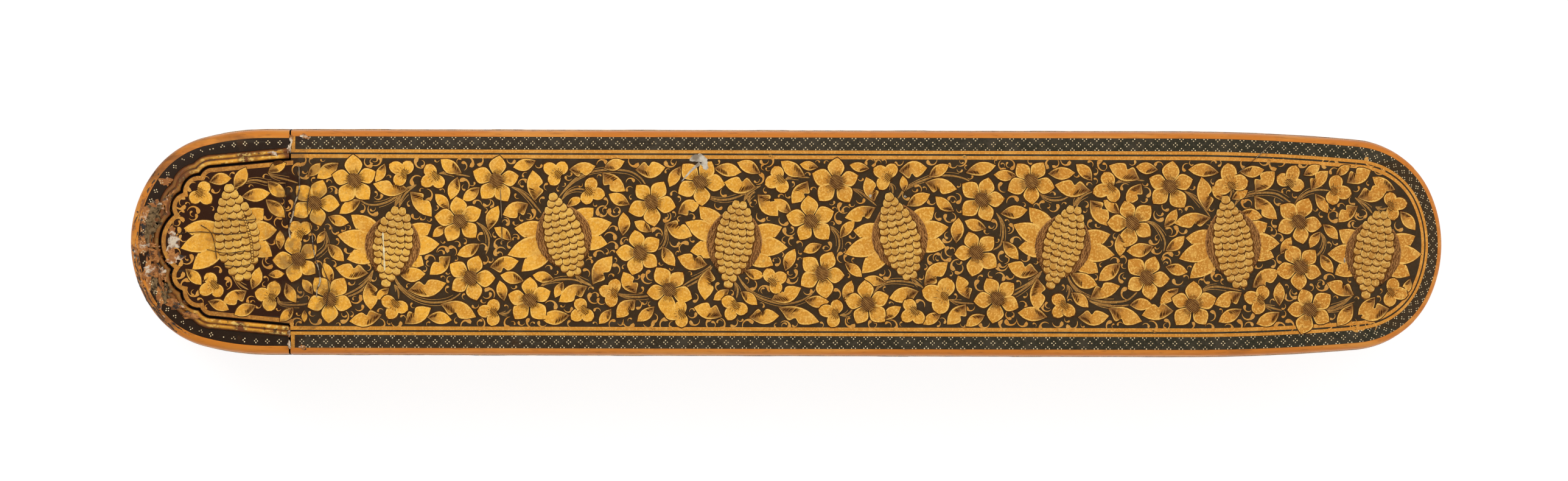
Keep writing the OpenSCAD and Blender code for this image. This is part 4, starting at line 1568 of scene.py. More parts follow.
class TrayGround(Ground):
    """The tray: its outer wall met by height, or its rim met by distance in from the case's plan."""

    LIFT_SHARE = 0.7

    def __init__(self, inset: float, rim_z: float, on_rim: bool, shift_x: float) -> None:
        """Choose the wall or the rim.

        Args:
            inset: Distance of the wall from the case's plan.
            rim_z: Height of the rim.
            on_rim: True for the rim.
            shift_x: How far the tray's plan lies from the case's.
        """
        self.rim = FORM.rim(False)
        self.total = float(self.rim[-1, 0])
        self.inset = inset
        self.rim_z = rim_z
        self.on_rim = on_rim
        self.shift_x = shift_x

    def lay(self, flat: Array, lift: Array) -> Array:
        """Lay flat points on the wall or the rim.

        Args:
            flat: Places in the design, one row each.
            lift: Height of each point above the surface.

        Returns:
            The points in the box's frame.
        """
        x, y, nx, ny = (np.interp(flat[:, 0], self.rim[:, 0], self.rim[:, i]) for i in range(1, 5))
        inset = flat[:, 1] if self.on_rim else self.inset - lift * self.LIFT_SHARE
        z = self.rim_z + lift if self.on_rim else flat[:, 1]
        return np.column_stack([x - inset * nx + self.shift_x, y - inset * ny, z])


@dataclass(frozen=True)
class Motif:
    """A painted shape modelled once: points as along, across and height, and faces."""

    points: Array
    faces: Tuple[Face, ...]


class MotifShop:
    """Models each repeated shape of the painting once."""

    SKIRT = 1.7
    LEAF: Profile = ((0.0, 0.0), (0.08, 0.24), (0.2, 0.58), (0.35, 0.9), (0.5, 1.0), (0.65, 0.93),
                     (0.8, 0.66), (0.92, 0.27), (1.0, 0.0))
    PETAL: Profile = ((0.0, 0.2), (0.12, 0.45), (0.25, 0.72), (0.38, 0.92), (0.5, 1.0), (0.62, 0.94),
                      (0.74, 0.76), (0.84, 0.52), (0.93, 0.25), (1.0, 0.0))
    BUD: Profile = ((0.0, 0.3), (0.12, 0.55), (0.25, 0.78), (0.4, 0.95), (0.55, 1.0), (0.7, 0.93),
                    (0.82, 0.76), (0.91, 0.53), (0.97, 0.28), (1.0, 0.0))
    SCALE: Profile = ((0.0, 0.5), (0.15, 0.74), (0.3, 0.9), (0.46, 1.0), (0.62, 1.0), (0.76, 0.92),
                      (0.87, 0.74), (0.94, 0.52), (0.98, 0.3), (1.0, 0.14))
    SEPAL: Profile = ((0.0, 0.55), (0.2, 0.85), (0.4, 1.0), (0.55, 0.98), (0.7, 0.82), (0.82, 0.57),
                      (0.92, 0.27), (1.0, 0.0))
    CURL: Profile = ((0.0, 0.1), (0.05, 0.62), (0.13, 1.0), (0.22, 0.94), (0.32, 0.58), (0.44, 0.37),
                     (0.65, 0.28), (0.86, 0.18), (1.0, 0.05))
    CURL_FROM = -120.0
    CURL_BY = 215.0
    CURL_EASE = 0.75
    CURL_SIZE = 1.55
    NOTCH_DEPTH = 0.56
    NOTCH_SPAN = 0.075
    BULGE = 0.2
    BULGE_BACK = 0.17
    BULGE_SPAN = 0.1

    def __init__(self) -> None:
        """Model every shape."""
        straight = self._straight
        self.leaf = self._blade(10, self.LEAF, straight)
        self.notched = self._blade(24, self.LEAF, straight, notch=0.45)
        self.petal = self._blade(10, self.PETAL, straight)
        self.bud = self._blade(10, self.BUD, straight)
        self.sepal = self._blade(9, self.SEPAL, straight)
        self.curl = self._blade(12, self.CURL, self._curled, ribs=1, half=0.185)
        self.scale = self._blade(8, self.SCALE, straight, dome=0.06)
        self.dot = self._round(8)
        self.disc = self._round(18)

    @staticmethod
    def _straight(u: Array) -> Tuple[Array, Array]:
        """Middle line and direction of a straight shape."""
        return np.column_stack([u, 0.0 * u]), 0.0 * u

    @staticmethod
    def _curled(u: Array) -> Tuple[Array, Array]:
        """Bend the middle line of a comma whose tail curls round.

        Args:
            u: Places along it.

        Returns:
            The line's points and its direction at each.
        """
        fine = np.linspace(0.0, 1.0, 80)
        turn = np.radians(MotifShop.CURL_FROM + MotifShop.CURL_BY * fine ** MotifShop.CURL_EASE)
        steps = np.column_stack([np.cos(turn), np.sin(turn)]) / len(fine)
        line = np.cumsum(steps, axis=0)
        line = (line - (line.min(0) + line.max(0)) / 2.0) * MotifShop.CURL_SIZE + [0.5, 0.0]
        place = np.column_stack([np.interp(u, fine, line[:, i]) for i in (0, 1)])
        return place, np.interp(u, fine, turn)

    def _blade(self, spans: int, profile: Profile, middle: Callable, ribs: int = 2, half: float = 0.5,
               notch: float = 0.0, dome: float = 0.35) -> Motif:
        """Model a leaf-like shape from a grid.

        Args:
            spans: Faces along it.
            profile: Half width along it.
            middle: Gives its middle line and direction.
            ribs: Faces across it.
            half: Half of its full width, where its length is 1.
            notch: Place of a notch along one side, or 0.
            dome: How much its middle stands above its edges.

        Returns:
            The modelled shape.
        """
        Bench.clear()
        bpy.ops.mesh.primitive_grid_add(x_subdivisions=spans, y_subdivisions=ribs, size=1.0)
        piece = bpy.context.object

        def bladed(co: Array) -> Array:
            """Draw the grid in to the profile and lay it along the middle line.

            Args:
                co: The grid's points, one row each.

            Returns:
                The points moved.
            """
            u = co[:, 0] + 0.5
            v = co[:, 1] * 2.0
            wide = along(profile, u) * half
            if notch:
                dip = self.NOTCH_DEPTH * np.exp(-((u - notch) / self.NOTCH_SPAN) ** 2)
                bulge = self.BULGE * half * np.exp(-((u - notch + self.BULGE_BACK) / self.BULGE_SPAN) ** 2)
                wide = np.where(v > 0.0, wide * (1.0 - dip) + bulge, wide)
            place, turn = middle(u)
            height = 1.0 + dome * (1.0 - v ** 2) * (ribs > 1)
            off = np.column_stack([-np.sin(turn), np.cos(turn)]) * (v * wide)[:, None]
            return np.column_stack([place + off, height])

        Bench.shape(piece, bladed)
        return self._lift_off(piece, lambda: bpy.ops.mesh.remove_doubles(threshold=1e-4))

    def _round(self, corners: int) -> Motif:
        """Model a domed dot.

        Args:
            corners: Its number of corners.

        Returns:
            The shape.
        """
        Bench.clear()
        bpy.ops.mesh.primitive_circle_add(vertices=corners, radius=0.5, fill_type="TRIFAN")
        piece = bpy.context.object

        def domed(co: Array) -> Array:
            """Raise the middle."""
            middle = np.hypot(co[:, 0], co[:, 1]) < 0.2
            return np.column_stack([co[:, 0] + 0.5, co[:, 1], 1.0 + 0.5 * middle])

        Bench.shape(piece, domed)
        return self._lift_off(piece)

    def _lift_off(self, piece: Piece, *steps: Callable[[], object]) -> Motif:
        """Give a shape its edge, read it and clear the bench.

        Args:
            piece: The modelled sheet.
            steps: Operators to run first.

        Returns:
            The shape.
        """
        Bench.edit(piece, *steps, bpy.ops.mesh.region_to_loop,
                   lambda: bpy.ops.mesh.extrude_edges_move(
                       TRANSFORM_OT_translate={"value": (0.0, 0.0, -self.SKIRT)}))
        points = Bench.points(piece)
        faces = [tuple(p.vertices) for p in piece.data.polygons]
        up = sum(p.normal.z * p.area for p in piece.data.polygons)
        if up < 0.0:
            faces = [f[::-1] for f in faces]
        mesh = piece.data
        bpy.data.objects.remove(piece)
        bpy.data.meshes.remove(mesh)
        return Motif(points, tuple(faces))


class PaintLayer:
    """Shapes of one colour, gathered flat and then laid on a ground as one piece."""

    ROOT = -0.03
    CROWN = 1.3
    TAPER: Pair = (0.3, 0.7)
    MERGE = 2e-7
    WAVES: Pairs = ((0.5, 2), (0.4, 3), (0.35, 5), (0.3, 8))

    def __init__(self, dome: float = 0.09) -> None:
        """Start with nothing painted.

        Args:
            dome: How far full shapes swell.
        """
        self.dome = dome
        self.flat: List[Array] = []
        self.lift: List[Array] = []
        self.growth: List[Array] = []
        self.rim: List[Array] = []
        self.faces: List[Face] = []
        self.count = 0

    def _gather(self, flat: Array, lift: Array, faces: Sequence[Face],
                growth: Optional[Array] = None, rim: Optional[Array] = None) -> None:
        """Add points and faces.

        Args:
            flat: Places in the design, one row each.
            lift: Height of each above the ground.
            faces: Faces between them.
            growth: How far along its shape each is.
            rim: How near its shape's rim each is.
        """
        self.faces += [tuple(self.count + i for i in f) for f in faces]
        self.flat.append(flat)
        self.lift.append(lift)
        self.growth.append(np.ones(len(flat)) if growth is None else growth)
        self.rim.append(np.zeros(len(flat)) if rim is None else rim)
        self.count += len(flat)

    def stamp(self, motif: Motif, base: Pair, tip: Pair, width: float, lift: float, bend: float = 0.0,
              flip: bool = False) -> None:
        """Paint one motif.

        Args:
            motif: The shape.
            base: Where it starts.
            tip: Where it ends.
            width: Its full width.
            lift: Its height above the ground.
            bend: How far its middle bows out sideways, as a share of its length.
            flip: True to mirror it.
        """
        start = np.asarray(base, float)
        way = np.asarray(tip, float) - start
        side = np.array([-way[1], way[0]]) / max(np.hypot(*way), 1e-9)
        u = motif.points[:, 0]
        v = motif.points[:, 1] * (-1.0 if flip else 1.0)
        across = v * width + bend * np.hypot(*way) * 4.0 * u * (1.0 - u)
        faces = [f[::-1] for f in motif.faces] if flip else motif.faces
        swell = motif.points[:, 2] - 1.0
        height = np.where(swell < -0.1, self.ROOT, lift + swell * self.dome)
        rim = 1.0 - np.clip(swell / max(float(swell.max()), 1e-6), 0.0, 1.0)
        self._gather(start + u[:, None] * way + across[:, None] * side, height, faces, u, rim)

    def spot(self, motif: Motif, centre: Pair, size: float, lift: float) -> None:
        """Paint a round motif about its centre."""
        left, right = ((centre[0] + side * size / 2.0, centre[1]) for side in (-1.0, 1.0))
        self.stamp(motif, left, right, size, lift)

    def ribbon(self, path: Array, half: Array, lift: float) -> None:
        """Paint a ribbon along a path.

        Args:
            path: The middle line, one row each.
            half: Half width at each row.
            lift: Its height above the ground.
        """
        way = np.gradient(path, axis=0)
        way /= np.maximum(np.hypot(way[:, 0], way[:, 1]), 1e-9)[:, None]
        side = np.column_stack([-way[:, 1], way[:, 0]])
        across = np.array([1.0, 1.0, 0.0, -1.0, -1.0])
        height = np.array([self.ROOT, lift, self.CROWN * lift, lift, self.ROOT])
        flat = (path[:, None] + side[:, None] * (half[:, None] * across)[..., None]).reshape(-1, 2)
        self._gather(flat, np.tile(height, len(path)), self._strip(len(path), 5))

    def band(self, along_pts: Array, inward: Array, lift: float) -> None:
        """Paint a straight band on a grid of the ground's own coordinates.

        Args:
            along_pts: Places along the band.
            inward: Places across it, in rising order.
            lift: Its height above the ground.
        """
        across = np.concatenate([inward[:1], inward, inward[-1:]])
        height = np.concatenate([[self.ROOT], np.full(len(inward), lift), [self.ROOT]])
        flat = np.array([(s, d) for s in along_pts for d in across[::-1]])
        faces = self._strip(len(along_pts), len(across))
        self._gather(flat, np.tile(height[::-1], len(along_pts)), faces)

    def loft(self, outer: Array, inner: Array, lift: float) -> None:
        """Paint the strip between two outlines that have the same number of points.

        Args:
            outer: The outer outline.
            inner: The inner outline.
            lift: Its height above the ground.
        """
        flat = np.stack([outer, outer, inner, inner], axis=1).reshape(-1, 2)
        height = np.array([self.ROOT, lift, lift, self.ROOT])
        self._gather(flat, np.tile(height, len(outer)), self._strip(len(outer), 4))

    @staticmethod
    def _strip(rows: int, columns: int) -> List[Face]:
        """Faces of a grid of points."""
        return [(r * columns + c + 1, r * columns + c, (r + 1) * columns + c, (r + 1) * columns + c + 1)
                for r in range(rows - 1) for c in range(columns - 1)]

    def stroke(self, start: Pair, stop: Pair, width: float, lift: float) -> None:
        """Draw a thin pen stroke that tapers at both ends.

        Args:
            start: Where it starts.
            stop: Where it stops.
            width: Its full width.
            lift: Its height above the ground.
        """
        a, b = np.asarray(start, float), np.asarray(stop, float)
        way = b - a
        side = np.array([-way[1], way[0]]) / max(np.hypot(*way), 1e-9) * width / 2.0
        mid1, mid2 = (a + way * t for t in self.TAPER)
        flat = np.array([a, mid1 - side, mid2 - side, b, mid2 + side, mid1 + side])
        self._gather(flat, np.full(6, lift), [(0, 1, 2, 3, 4, 5)])

    def blots(self, patches: Sequence[Blot], lift: float, ragged: float = 0.28) -> None:
        """Paint patches of wear read in the photograph.

        Args:
            patches: The patches.
            lift: Their height above the ground.
            ragged: How far their edges wander.
        """
        for patch in patches:
            size = (patch.half_w, patch.half_h)
            self.blot(VIEW.place(patch.x, patch.y), size, lift, patch.seed, ragged=ragged)

    def blot(self, centre: Pair, size: Pair, lift: float, seed: int, corners: int = 26,
             ragged: float = 0.28) -> None:
        """Paint an irregular patch with a ragged edge.

        Args:
            centre: Its middle.
            size: Its half width and half height.
            lift: Its height above the ground.
            seed: Seed of its edge.
            corners: Corners round it.
            ragged: How far the edge wanders.
        """
        draw = random.Random(seed)
        wander = [draw.uniform(0.0, 2.0 * math.pi) for _ in self.WAVES]
        rings = [(0.0, self.CROWN * lift), (0.5, 1.2 * lift), (1.0, lift), (1.02, self.ROOT)]
        flat, height = [], []
        for share, up in rings:
            for i in range(corners):
                a = 2.0 * math.pi * i / corners
                waves = zip(self.WAVES, wander)
                edge = 1.0 + ragged * sum(high * math.sin(turns * a + off) for (high, turns), off in waves)
                edge *= 1.0 + draw.uniform(-0.3, 0.3) * ragged
                flat.append((centre[0] + size[0] * share * edge * math.cos(a),
                             centre[1] + size[1] * share * edge * math.sin(a)))
                height.append(up)
        faces = [(r * corners + i, (r + 1) * corners + i, (r + 1) * corners + (i + 1) % corners,
                  r * corners + (i + 1) % corners) for r in range(3) for i in range(corners)]
        self._gather(np.array(flat), np.array(height), faces)

    def piece(self, name: str, ground: Ground, finish: Material, body: Body, slot: Slot) -> None:
        """Lay everything on the ground as one dressed piece.

        Args:
            name: The piece's name.
            ground: The surface.
            finish: Its material.
            body: The body it rides on.
            slot: The record's material slot.
        """
        if not self.flat:
            return
        points = ground.lay(np.vstack(self.flat), np.concatenate(self.lift))
        made = Bench.sheet(name, points, self.faces)
        for key, values in ((GROWTH, self.growth), (RIM, self.rim)):
            held = made.data.attributes.new(key, "FLOAT", "POINT")
            held.data.foreach_set("value", np.concatenate(values))
        Bench.edit(made, lambda: bpy.ops.mesh.remove_doubles(threshold=self.MERGE))
        Bench.smooth(made, Bench.ROUND)
        Bench.deliver(made, finish, body, slot)


class FreeSpace:
    """Coarse map of what is painted, to find room for the small scrolls."""

    def __init__(self, low: Pair, high: Pair, cell: float) -> None:
        """Map a rectangle.

        Args:
            low: Its lower corner.
            high: Its upper corner.
            cell: Size of the map's cells.
        """
        self.low = np.asarray(low, float)
        self.cell = cell
        self.taken = np.zeros(np.ceil((np.asarray(high) - self.low) / cell).astype(int) + 1, bool)

    def mark(self, points: Array, reach: float) -> None:
        """Mark discs as painted.

        Args:
            points: Their middles, one row each.
            reach: Their radius.
        """
        k = int(math.ceil(reach / self.cell))
        span = np.arange(-k, k + 1)
        disc = np.array([(i, j) for i in span for j in span if math.hypot(i, j) * self.cell <= reach])
        cells = (np.rint((points - self.low) / self.cell).astype(int)[:, None] + disc).reshape(-1, 2)
        inside = np.all((cells >= 0) & (cells < self.taken.shape), axis=1)
        self.taken[tuple(cells[inside].T)] = True

    def room(self, x: float, y: float, reach: float) -> bool:
        """Tell whether a square is free.

        Args:
            x: Its middle along the design.
            y: Its middle across the design.
            reach: Half its side.

        Returns:
            True where nothing is painted.
        """
        i, j = np.rint((np.array([x, y]) - self.low) / self.cell).astype(int)
        k = int(round(reach / self.cell))
        if min(i, j) < k or i + k >= self.taken.shape[0] or j + k >= self.taken.shape[1]:
            return False
        return not self.taken[i - k:i + k + 1, j - k:j + k + 1].any()


@dataclass(frozen=True)
class Lifts:
    """Height of each coat of the vine above its ground, in millimetres."""

    shoot: float = 0.045
    stem: float = 0.05
    vein: float = 0.055
    scroll: float = 0.05
    sepal_rim: float = 0.04
    sepal: float = 0.046
    sepal_over: float = 0.012
    leaf_rim: float = 0.062
    leaf: float = 0.07
    leaf_pen: float = 0.118
    petal: float = 0.084
    petal_over: float = 0.012
    petal_rim: float = 0.003
    petal_pen: float = 0.135
    eye: float = 0.12
    eye_pen: float = 0.19
    core: float = 0.09
    crescent: float = 0.1
    crescent_rim: float = 0.105
    crescent_pen: float = 0.14
    scale: float = 0.12
    scale_row: float = 0.011
    scale_over: float = 0.004


class VinePainter:
    """Paints blossoms, leaves, clusters, stems and scrolls in layers. Lengths are in millimetres."""

    LIFT = Lifts()
    WIDE_TOP: Profile = ((0.0, 0.24), (0.06, 0.45), (0.14, 0.68), (0.28, 0.91), (0.42, 1.0), (0.55, 0.97),
                         (0.68, 0.84), (0.8, 0.6), (0.88, 0.4), (0.95, 0.26), (1.0, 0.13))
    BODY = 6.75
    BODY_PLAIN = 1.16
    BEAD: Pair = (1.42, 1.16)
    BELLY: Pair = (0.16, 0.84)
    LANES = 4
    RIM_W = 0.34
    LEAF_W = 2.45
    LEAF_RIM = 0.18
    NOTCHED_W = 1.12
    PEN_FROM = 0.08
    PEN_PITCH = 0.175
    PETAL_RIM = 0.2
    PETAL_PEN = 0.075
    EYE_SIZE = 2.45
    EYE_R = 1.4
    SIDE_EYE_R = 0.85
    SPRAY_MIN = 2.6
    SPRAY: Pairs = ((-1.5, 0.95), (1.5, 0.95), (0.0, 1.12))
    SEPAL_W = 3.45
    SEPAL_RIM_W = 3.75
    CURLS: Pairs = ((2.1, 0.6), (1.8, 0.5), (1.5, 0.4), (1.2, 0.31), (1.0, 0.24), (0.8, 0.18))
    CURL_CLEAR = 0.17
    MAP_CELL = 0.12
    SPRAY_PX = 20.0
    BLOSSOM_PX = 28.0

    def __init__(self, shop: MotifShop, scale: float, seed: int) -> None:
        """Start with empty layers.

        Args:
            shop: The modelled shapes.
            scale: Shrinks every size.
            seed: Seed of the painter's hand.
        """
        self.shop = shop
        self.k = scale
        self.draw = random.Random(seed)
        self.stems, self.scrolls, self.calyx, self.leaves = (PaintLayer() for _ in range(4))
        self.petals, self.eyes, self.scales, self.hatching = (PaintLayer() for _ in range(4))
        self.outlines, self.cores, self.crescents, self.veins = (PaintLayer(0.0) for _ in range(4))

    def leaf(self, base: Pair, tip: Pair, notch: Pair) -> None:
        """Paint a leaf with pen strokes at its base.

        Args:
            base: The hatched base.
            tip: The tip.
            notch: Direction of the notched side, or zeros.
        """
        a, b = np.asarray(base, float), np.asarray(tip, float)
        way = b - a
        length = np.hypot(*way)
        side = np.array([-way[1], way[0]]) / length
        width = min(0.5 * length, self.LEAF_W * self.k) * self.draw.uniform(0.94, 1.08)
        bend = self.draw.uniform(-0.06, 0.06)
        notched = notch != Notch.NONE.value
        flip = notched and float(side @ np.asarray(notch)) < 0.0
        shape = self.shop.notched if notched else self.shop.leaf
        width *= self.NOTCHED_W if notched else 1.0
        rim = way / length * self.LEAF_RIM * self.k
        self.outlines.stamp(shape, tuple(a - rim), tuple(b + rim), width + self.RIM_W * self.k,
                            self.LIFT.leaf_rim, bend, flip)
        self.leaves.stamp(shape, base, tip, width, self.LIFT.leaf, bend, flip)
        face = self.draw.choice((-1.0, 1.0))
        share = self.draw.uniform(0.3, 0.46)
        pitch = self.PEN_PITCH * self.k / length
        for i in range(int(share / pitch)):
            u = self.PEN_FROM + pitch * i
            half = float(along(MotifShop.LEAF, np.array(u))) * width / 2.0
            bow = side * bend * length * 4.0 * u * (1.0 - u)
            mid = a + way * (u + self.draw.uniform(-0.01, 0.01)) + bow
            reach = self.draw.uniform(0.8, 1.1) - 0.8 * u / (share + self.PEN_FROM)
            self.hatching.stroke(mid - side * half * (1.2 * reach - 0.4) * face,
                                 mid + side * half * 0.92 * face + way * 0.07,
                                 self.draw.uniform(0.08, 0.13) * self.k, self.LIFT.leaf_pen)

    def petal(self, shape: Motif, eye: Pair, way: float, near: float, far: float, width: float,
              strokes: int) -> None:
        """Paint one petal, with strokes that run out from the eye.

        Args:
            shape: The petal's outline.
            eye: Middle of the blossom.
            way: The petal's direction.
            near: Where the petal starts.
            far: Where it ends.
            width: Its full width.
            strokes: Number of strokes.
        """
        def out(reach: float, turn: float = 0.0) -> Pair:
            """Go out from the eye."""
            return (eye[0] + reach * math.cos(way + turn), eye[1] + reach * math.sin(way + turn))

        bend = self.draw.uniform(-0.05, 0.05)
        lift = self.LIFT.petal + self.LIFT.petal_over * self.draw.random()
        self.outlines.stamp(shape, out(near), out(far + self.PETAL_RIM * self.k),
                            width + self.RIM_W * self.k, lift - self.LIFT.petal_rim, bend)
        self.petals.stamp(shape, out(near), out(far), width, lift, bend)
        for i in range(strokes):
            turn = (i / max(1, strokes - 1) - 0.5) * 0.9
            end = out(self.draw.uniform(0.38, 0.52) * far, 0.9 * turn)
            self.hatching.stroke(out(0.28 * far, turn), end, self.PETAL_PEN * self.k, self.LIFT.petal_pen)

    def blossom(self, eye: Pair, turn: float, petals: int = 5, reach: float = 4.15) -> None:
        """Paint an open blossom.

        Args:
            eye: Its middle.
            turn: Direction of one petal in degrees.
            petals: Number of petals.
            reach: Distance from the middle to the petals' tips.
        """
        for i in range(petals):
            way = math.radians(turn + 360.0 / petals * i + self.draw.uniform(-4.0, 4.0))
            far = reach * self.k * self.draw.uniform(0.92, 1.08)
            self.petal(self.shop.petal, eye, way, 0.16 * far, far, 0.69 * far, 8)
        self.eyes.spot(self.shop.disc, eye, self.EYE_SIZE * self.k, self.LIFT.eye)
        self.eye(eye, self.EYE_R * self.k)

    def eye(self, centre: Pair, radius: float) -> None:
        """Hatch a blossom's eye.

        Args:
            centre: Its middle.
            radius: Its radius.
        """
        turn = self.draw.uniform(0.3, 1.0)
        lines = 5 if radius > self.k else 3
        for i in range(-lines, lines + 1):
            off = i * radius / (lines + 0.4)
            half = math.sqrt(max(radius ** 2 - off ** 2, 0.0))
            for part in (-1, 1):
                start = (-half * 0.1 * part, off + 0.03 * part)
                stop = (half * part * self.draw.uniform(0.85, 1.05), off - 0.1 * radius)
                ends = [(centre[0] + x * math.cos(turn) - y * math.sin(turn),
                         centre[1] + x * math.sin(turn) + y * math.cos(turn)) for x, y in (start, stop)]
                self.hatching.stroke(*ends, (0.08 + 0.01 * lines) * self.k, self.LIFT.eye_pen)

    def spray(self, eye: Pair, point: Pair) -> None:
        """Paint a blossom seen from the side.

        Args:
            eye: Its eye.
            point: The point of its middle petal.
        """
        way = math.atan2(point[1] - eye[1], point[0] - eye[0])
        length = max(math.hypot(point[0] - eye[0], point[1] - eye[1]), self.SPRAY_MIN * self.k)
        for spread, share in self.SPRAY:
            far = length * share * self.draw.uniform(0.92, 1.06)
            self.petal(self.shop.bud, eye, way + spread, -0.08 * length, far, 0.85 * length, 3)
        self.eye((eye[0] - 0.1 * math.cos(way), eye[1] - 0.1 * math.sin(way)), self.SIDE_EYE_R * self.k)

    def stem(self, points: Sequence[Pair], weight: float = 1.0) -> None:
        """Paint a tapering stem, with a dark vein and a thin shoot on each side.

        Args:
            points: Places that it runs through.
            weight: How much thicker than usual it is.
        """
        path = smooth_path(points)
        u = np.linspace(0.0, 1.0, len(path))
        half = (0.09 + 0.075 * np.sin(np.pi * u ** 0.8)) * self.k * weight
        half[[0, -1]] *= 0.3
        self.stems.ribbon(path, half, self.LIFT.stem)
        inner = slice(len(path) // 8, -len(path) // 6)
        self.veins.ribbon(path[inner], half[inner] * 0.22, self.LIFT.vein)
        way = np.gradient(path, axis=0)
        side = np.column_stack([-way[:, 1], way[:, 0]]) / np.maximum(np.hypot(*way.T), 1e-9)[:, None]
        thin = np.linspace(0.07, 0.03, len(path)) * self.k
        for face in (-1.0, 1.0):
            spread = face * 0.55 * self.k * weight * np.sin(0.5 * np.pi * np.minimum(1.0, 1.3 * u))
            keep = slice(0, int(len(path) * self.draw.uniform(0.55, 0.9)))
            self.stems.ribbon((path + side * spread[:, None])[keep], thin[keep], self.LIFT.shoot)

    def cluster(self, item: Cluster, place: Callable[[float, float], Pair]) -> None:
        """Paint a cluster of scales between hatched crescents and calyx petals.

        Args:
            item: The cluster.
            place: Turns a pixel into a place on the ground.
        """
        a, b = (np.array(place(*end)) for end in (item.top, item.bottom))
        way = b - a
        middle = (a + b) / 2.0
        for i, tip in enumerate(np.array(place(*seat)) for seat in item.calyx):
            grow = tip - middle
            root = tuple(middle + grow * 0.24)
            # the middle petal of each side lies over its neighbours
            order = self.LIFT.sepal_over * (i % 3 == 1)
            self.outlines.stamp(self.shop.sepal, root, tuple(tip + grow * 0.02), self.SEPAL_RIM_W * self.k,
                                self.LIFT.sepal_rim + order)
            self.calyx.stamp(self.shop.sepal, root, tuple(tip), self.SEPAL_W * self.k,
                             self.LIFT.sepal + order)
        u = np.linspace(0.0, 1.0, 41)
        body = self.BODY * self.k * (1.0 if item.hatched else self.BODY_PLAIN)
        wide = along(self.WIDE_TOP, 1.0 - u if item.narrow_up else u) * body / 2.0
        path = a + u[:, None] * way
        self.cores.ribbon(path, wide * 0.96, self.LIFT.core)
        if item.hatched:
            belly = (u > self.BELLY[0]) & (u < self.BELLY[1])
            bulge = np.sin(np.pi * (u[belly] - self.BELLY[0]) / (self.BELLY[1] - self.BELLY[0]))
            self._crescents(path[belly], wide[belly], bulge, way / np.hypot(*way))
        self._scales(a, way, item.narrow_up, body)

    def _crescents(self, path: Array, wide: Array, bulge: Array, down: Array) -> None:
        """Paint and hatch the brown crescents at both sides of a cluster.

        Args:
            path: The cluster's middle line beside them, one row each.
            wide: Its half width there.
            bulge: How far they bulge there, from 0 to 1.
            down: Direction of the cluster.
        """
        side = np.array([-down[1], down[0]])
        for face in (-1.0, 1.0):
            edge = path + side * (face * wide)[:, None]
            outer = edge + side * (face * (0.1 + 1.4 * bulge) * self.k)[:, None]
            self.crescents.ribbon((edge + outer) / 2.0, (0.12 + 0.66 * bulge) * self.k, self.LIFT.crescent)
            self.cores.ribbon(edge, 0.05 * self.k + 0.16 * self.k * bulge, self.LIFT.crescent_rim)
            for inner, out in list(zip(edge, outer))[1:-1]:
                for lane in range(self.LANES):
                    start = inner + (out - inner) * (lane + self.draw.uniform(-0.2, 0.6)) / 3.8
                    lean = side * face * self.draw.uniform(-0.1, 0.22) * self.k
                    stop = start + down * self.draw.uniform(0.4, 0.75) * self.k + lean
                    self.hatching.stroke(tuple(start), tuple(stop), 0.1 * self.k, self.LIFT.crescent_pen)

    def _scales(self, start: Array, way: Array, narrow_up: bool, body: float) -> None:
        """Lay a cluster's overlapping scales, each upper row over the next lower one.

        Args:
            start: The cluster's upper end.
            way: From its upper to its lower end.
            narrow_up: True where the narrow end is up.
            body: Its greatest width.
        """
        down = way / np.hypot(*way)
        side = np.array([-down[1], down[0]])
        wide, high = (size * self.k for size in self.BEAD)
        rows = int(round(np.hypot(*way) / high))
        pitch_down = way / rows
        edge = down * 0.26 * self.k
        for r in range(rows):
            t = (r + 0.5) / rows
            full = float(along(self.WIDE_TOP, np.array(1.0 - t if narrow_up else t))) * body
            count = max(1, int(round(full / wide)))
            pitch = max(full / count, 0.9 * wide)
            shift = 0.07 * pitch * (1 if r % 2 else -1) * (count > 2)
            lift = self.LIFT.scale + self.LIFT.scale_row * (rows - r)
            for j in range(count):
                off = (j - (count - 1) / 2.0) * pitch
                hang = 0.35 * (1.0 - (off / (count * pitch / 2.0)) ** 2)
                sag = (hang + self.draw.uniform(-0.12, 0.12)) * self.k
                top = start + pitch_down * (r - 0.16) + side * (off + shift) + down * (sag - 0.2 * self.k)
                tip = top + pitch_down * 1.16 + side * self.draw.uniform(-0.08, 0.08) * self.k
                self.cores.stamp(self.shop.scale, tuple(top), tuple(tip + edge), pitch * 1.08, lift)
                self.scales.stamp(self.shop.scale, tuple(top), tuple(tip), pitch * 1.01,
                                  lift + self.LIFT.scale_over)

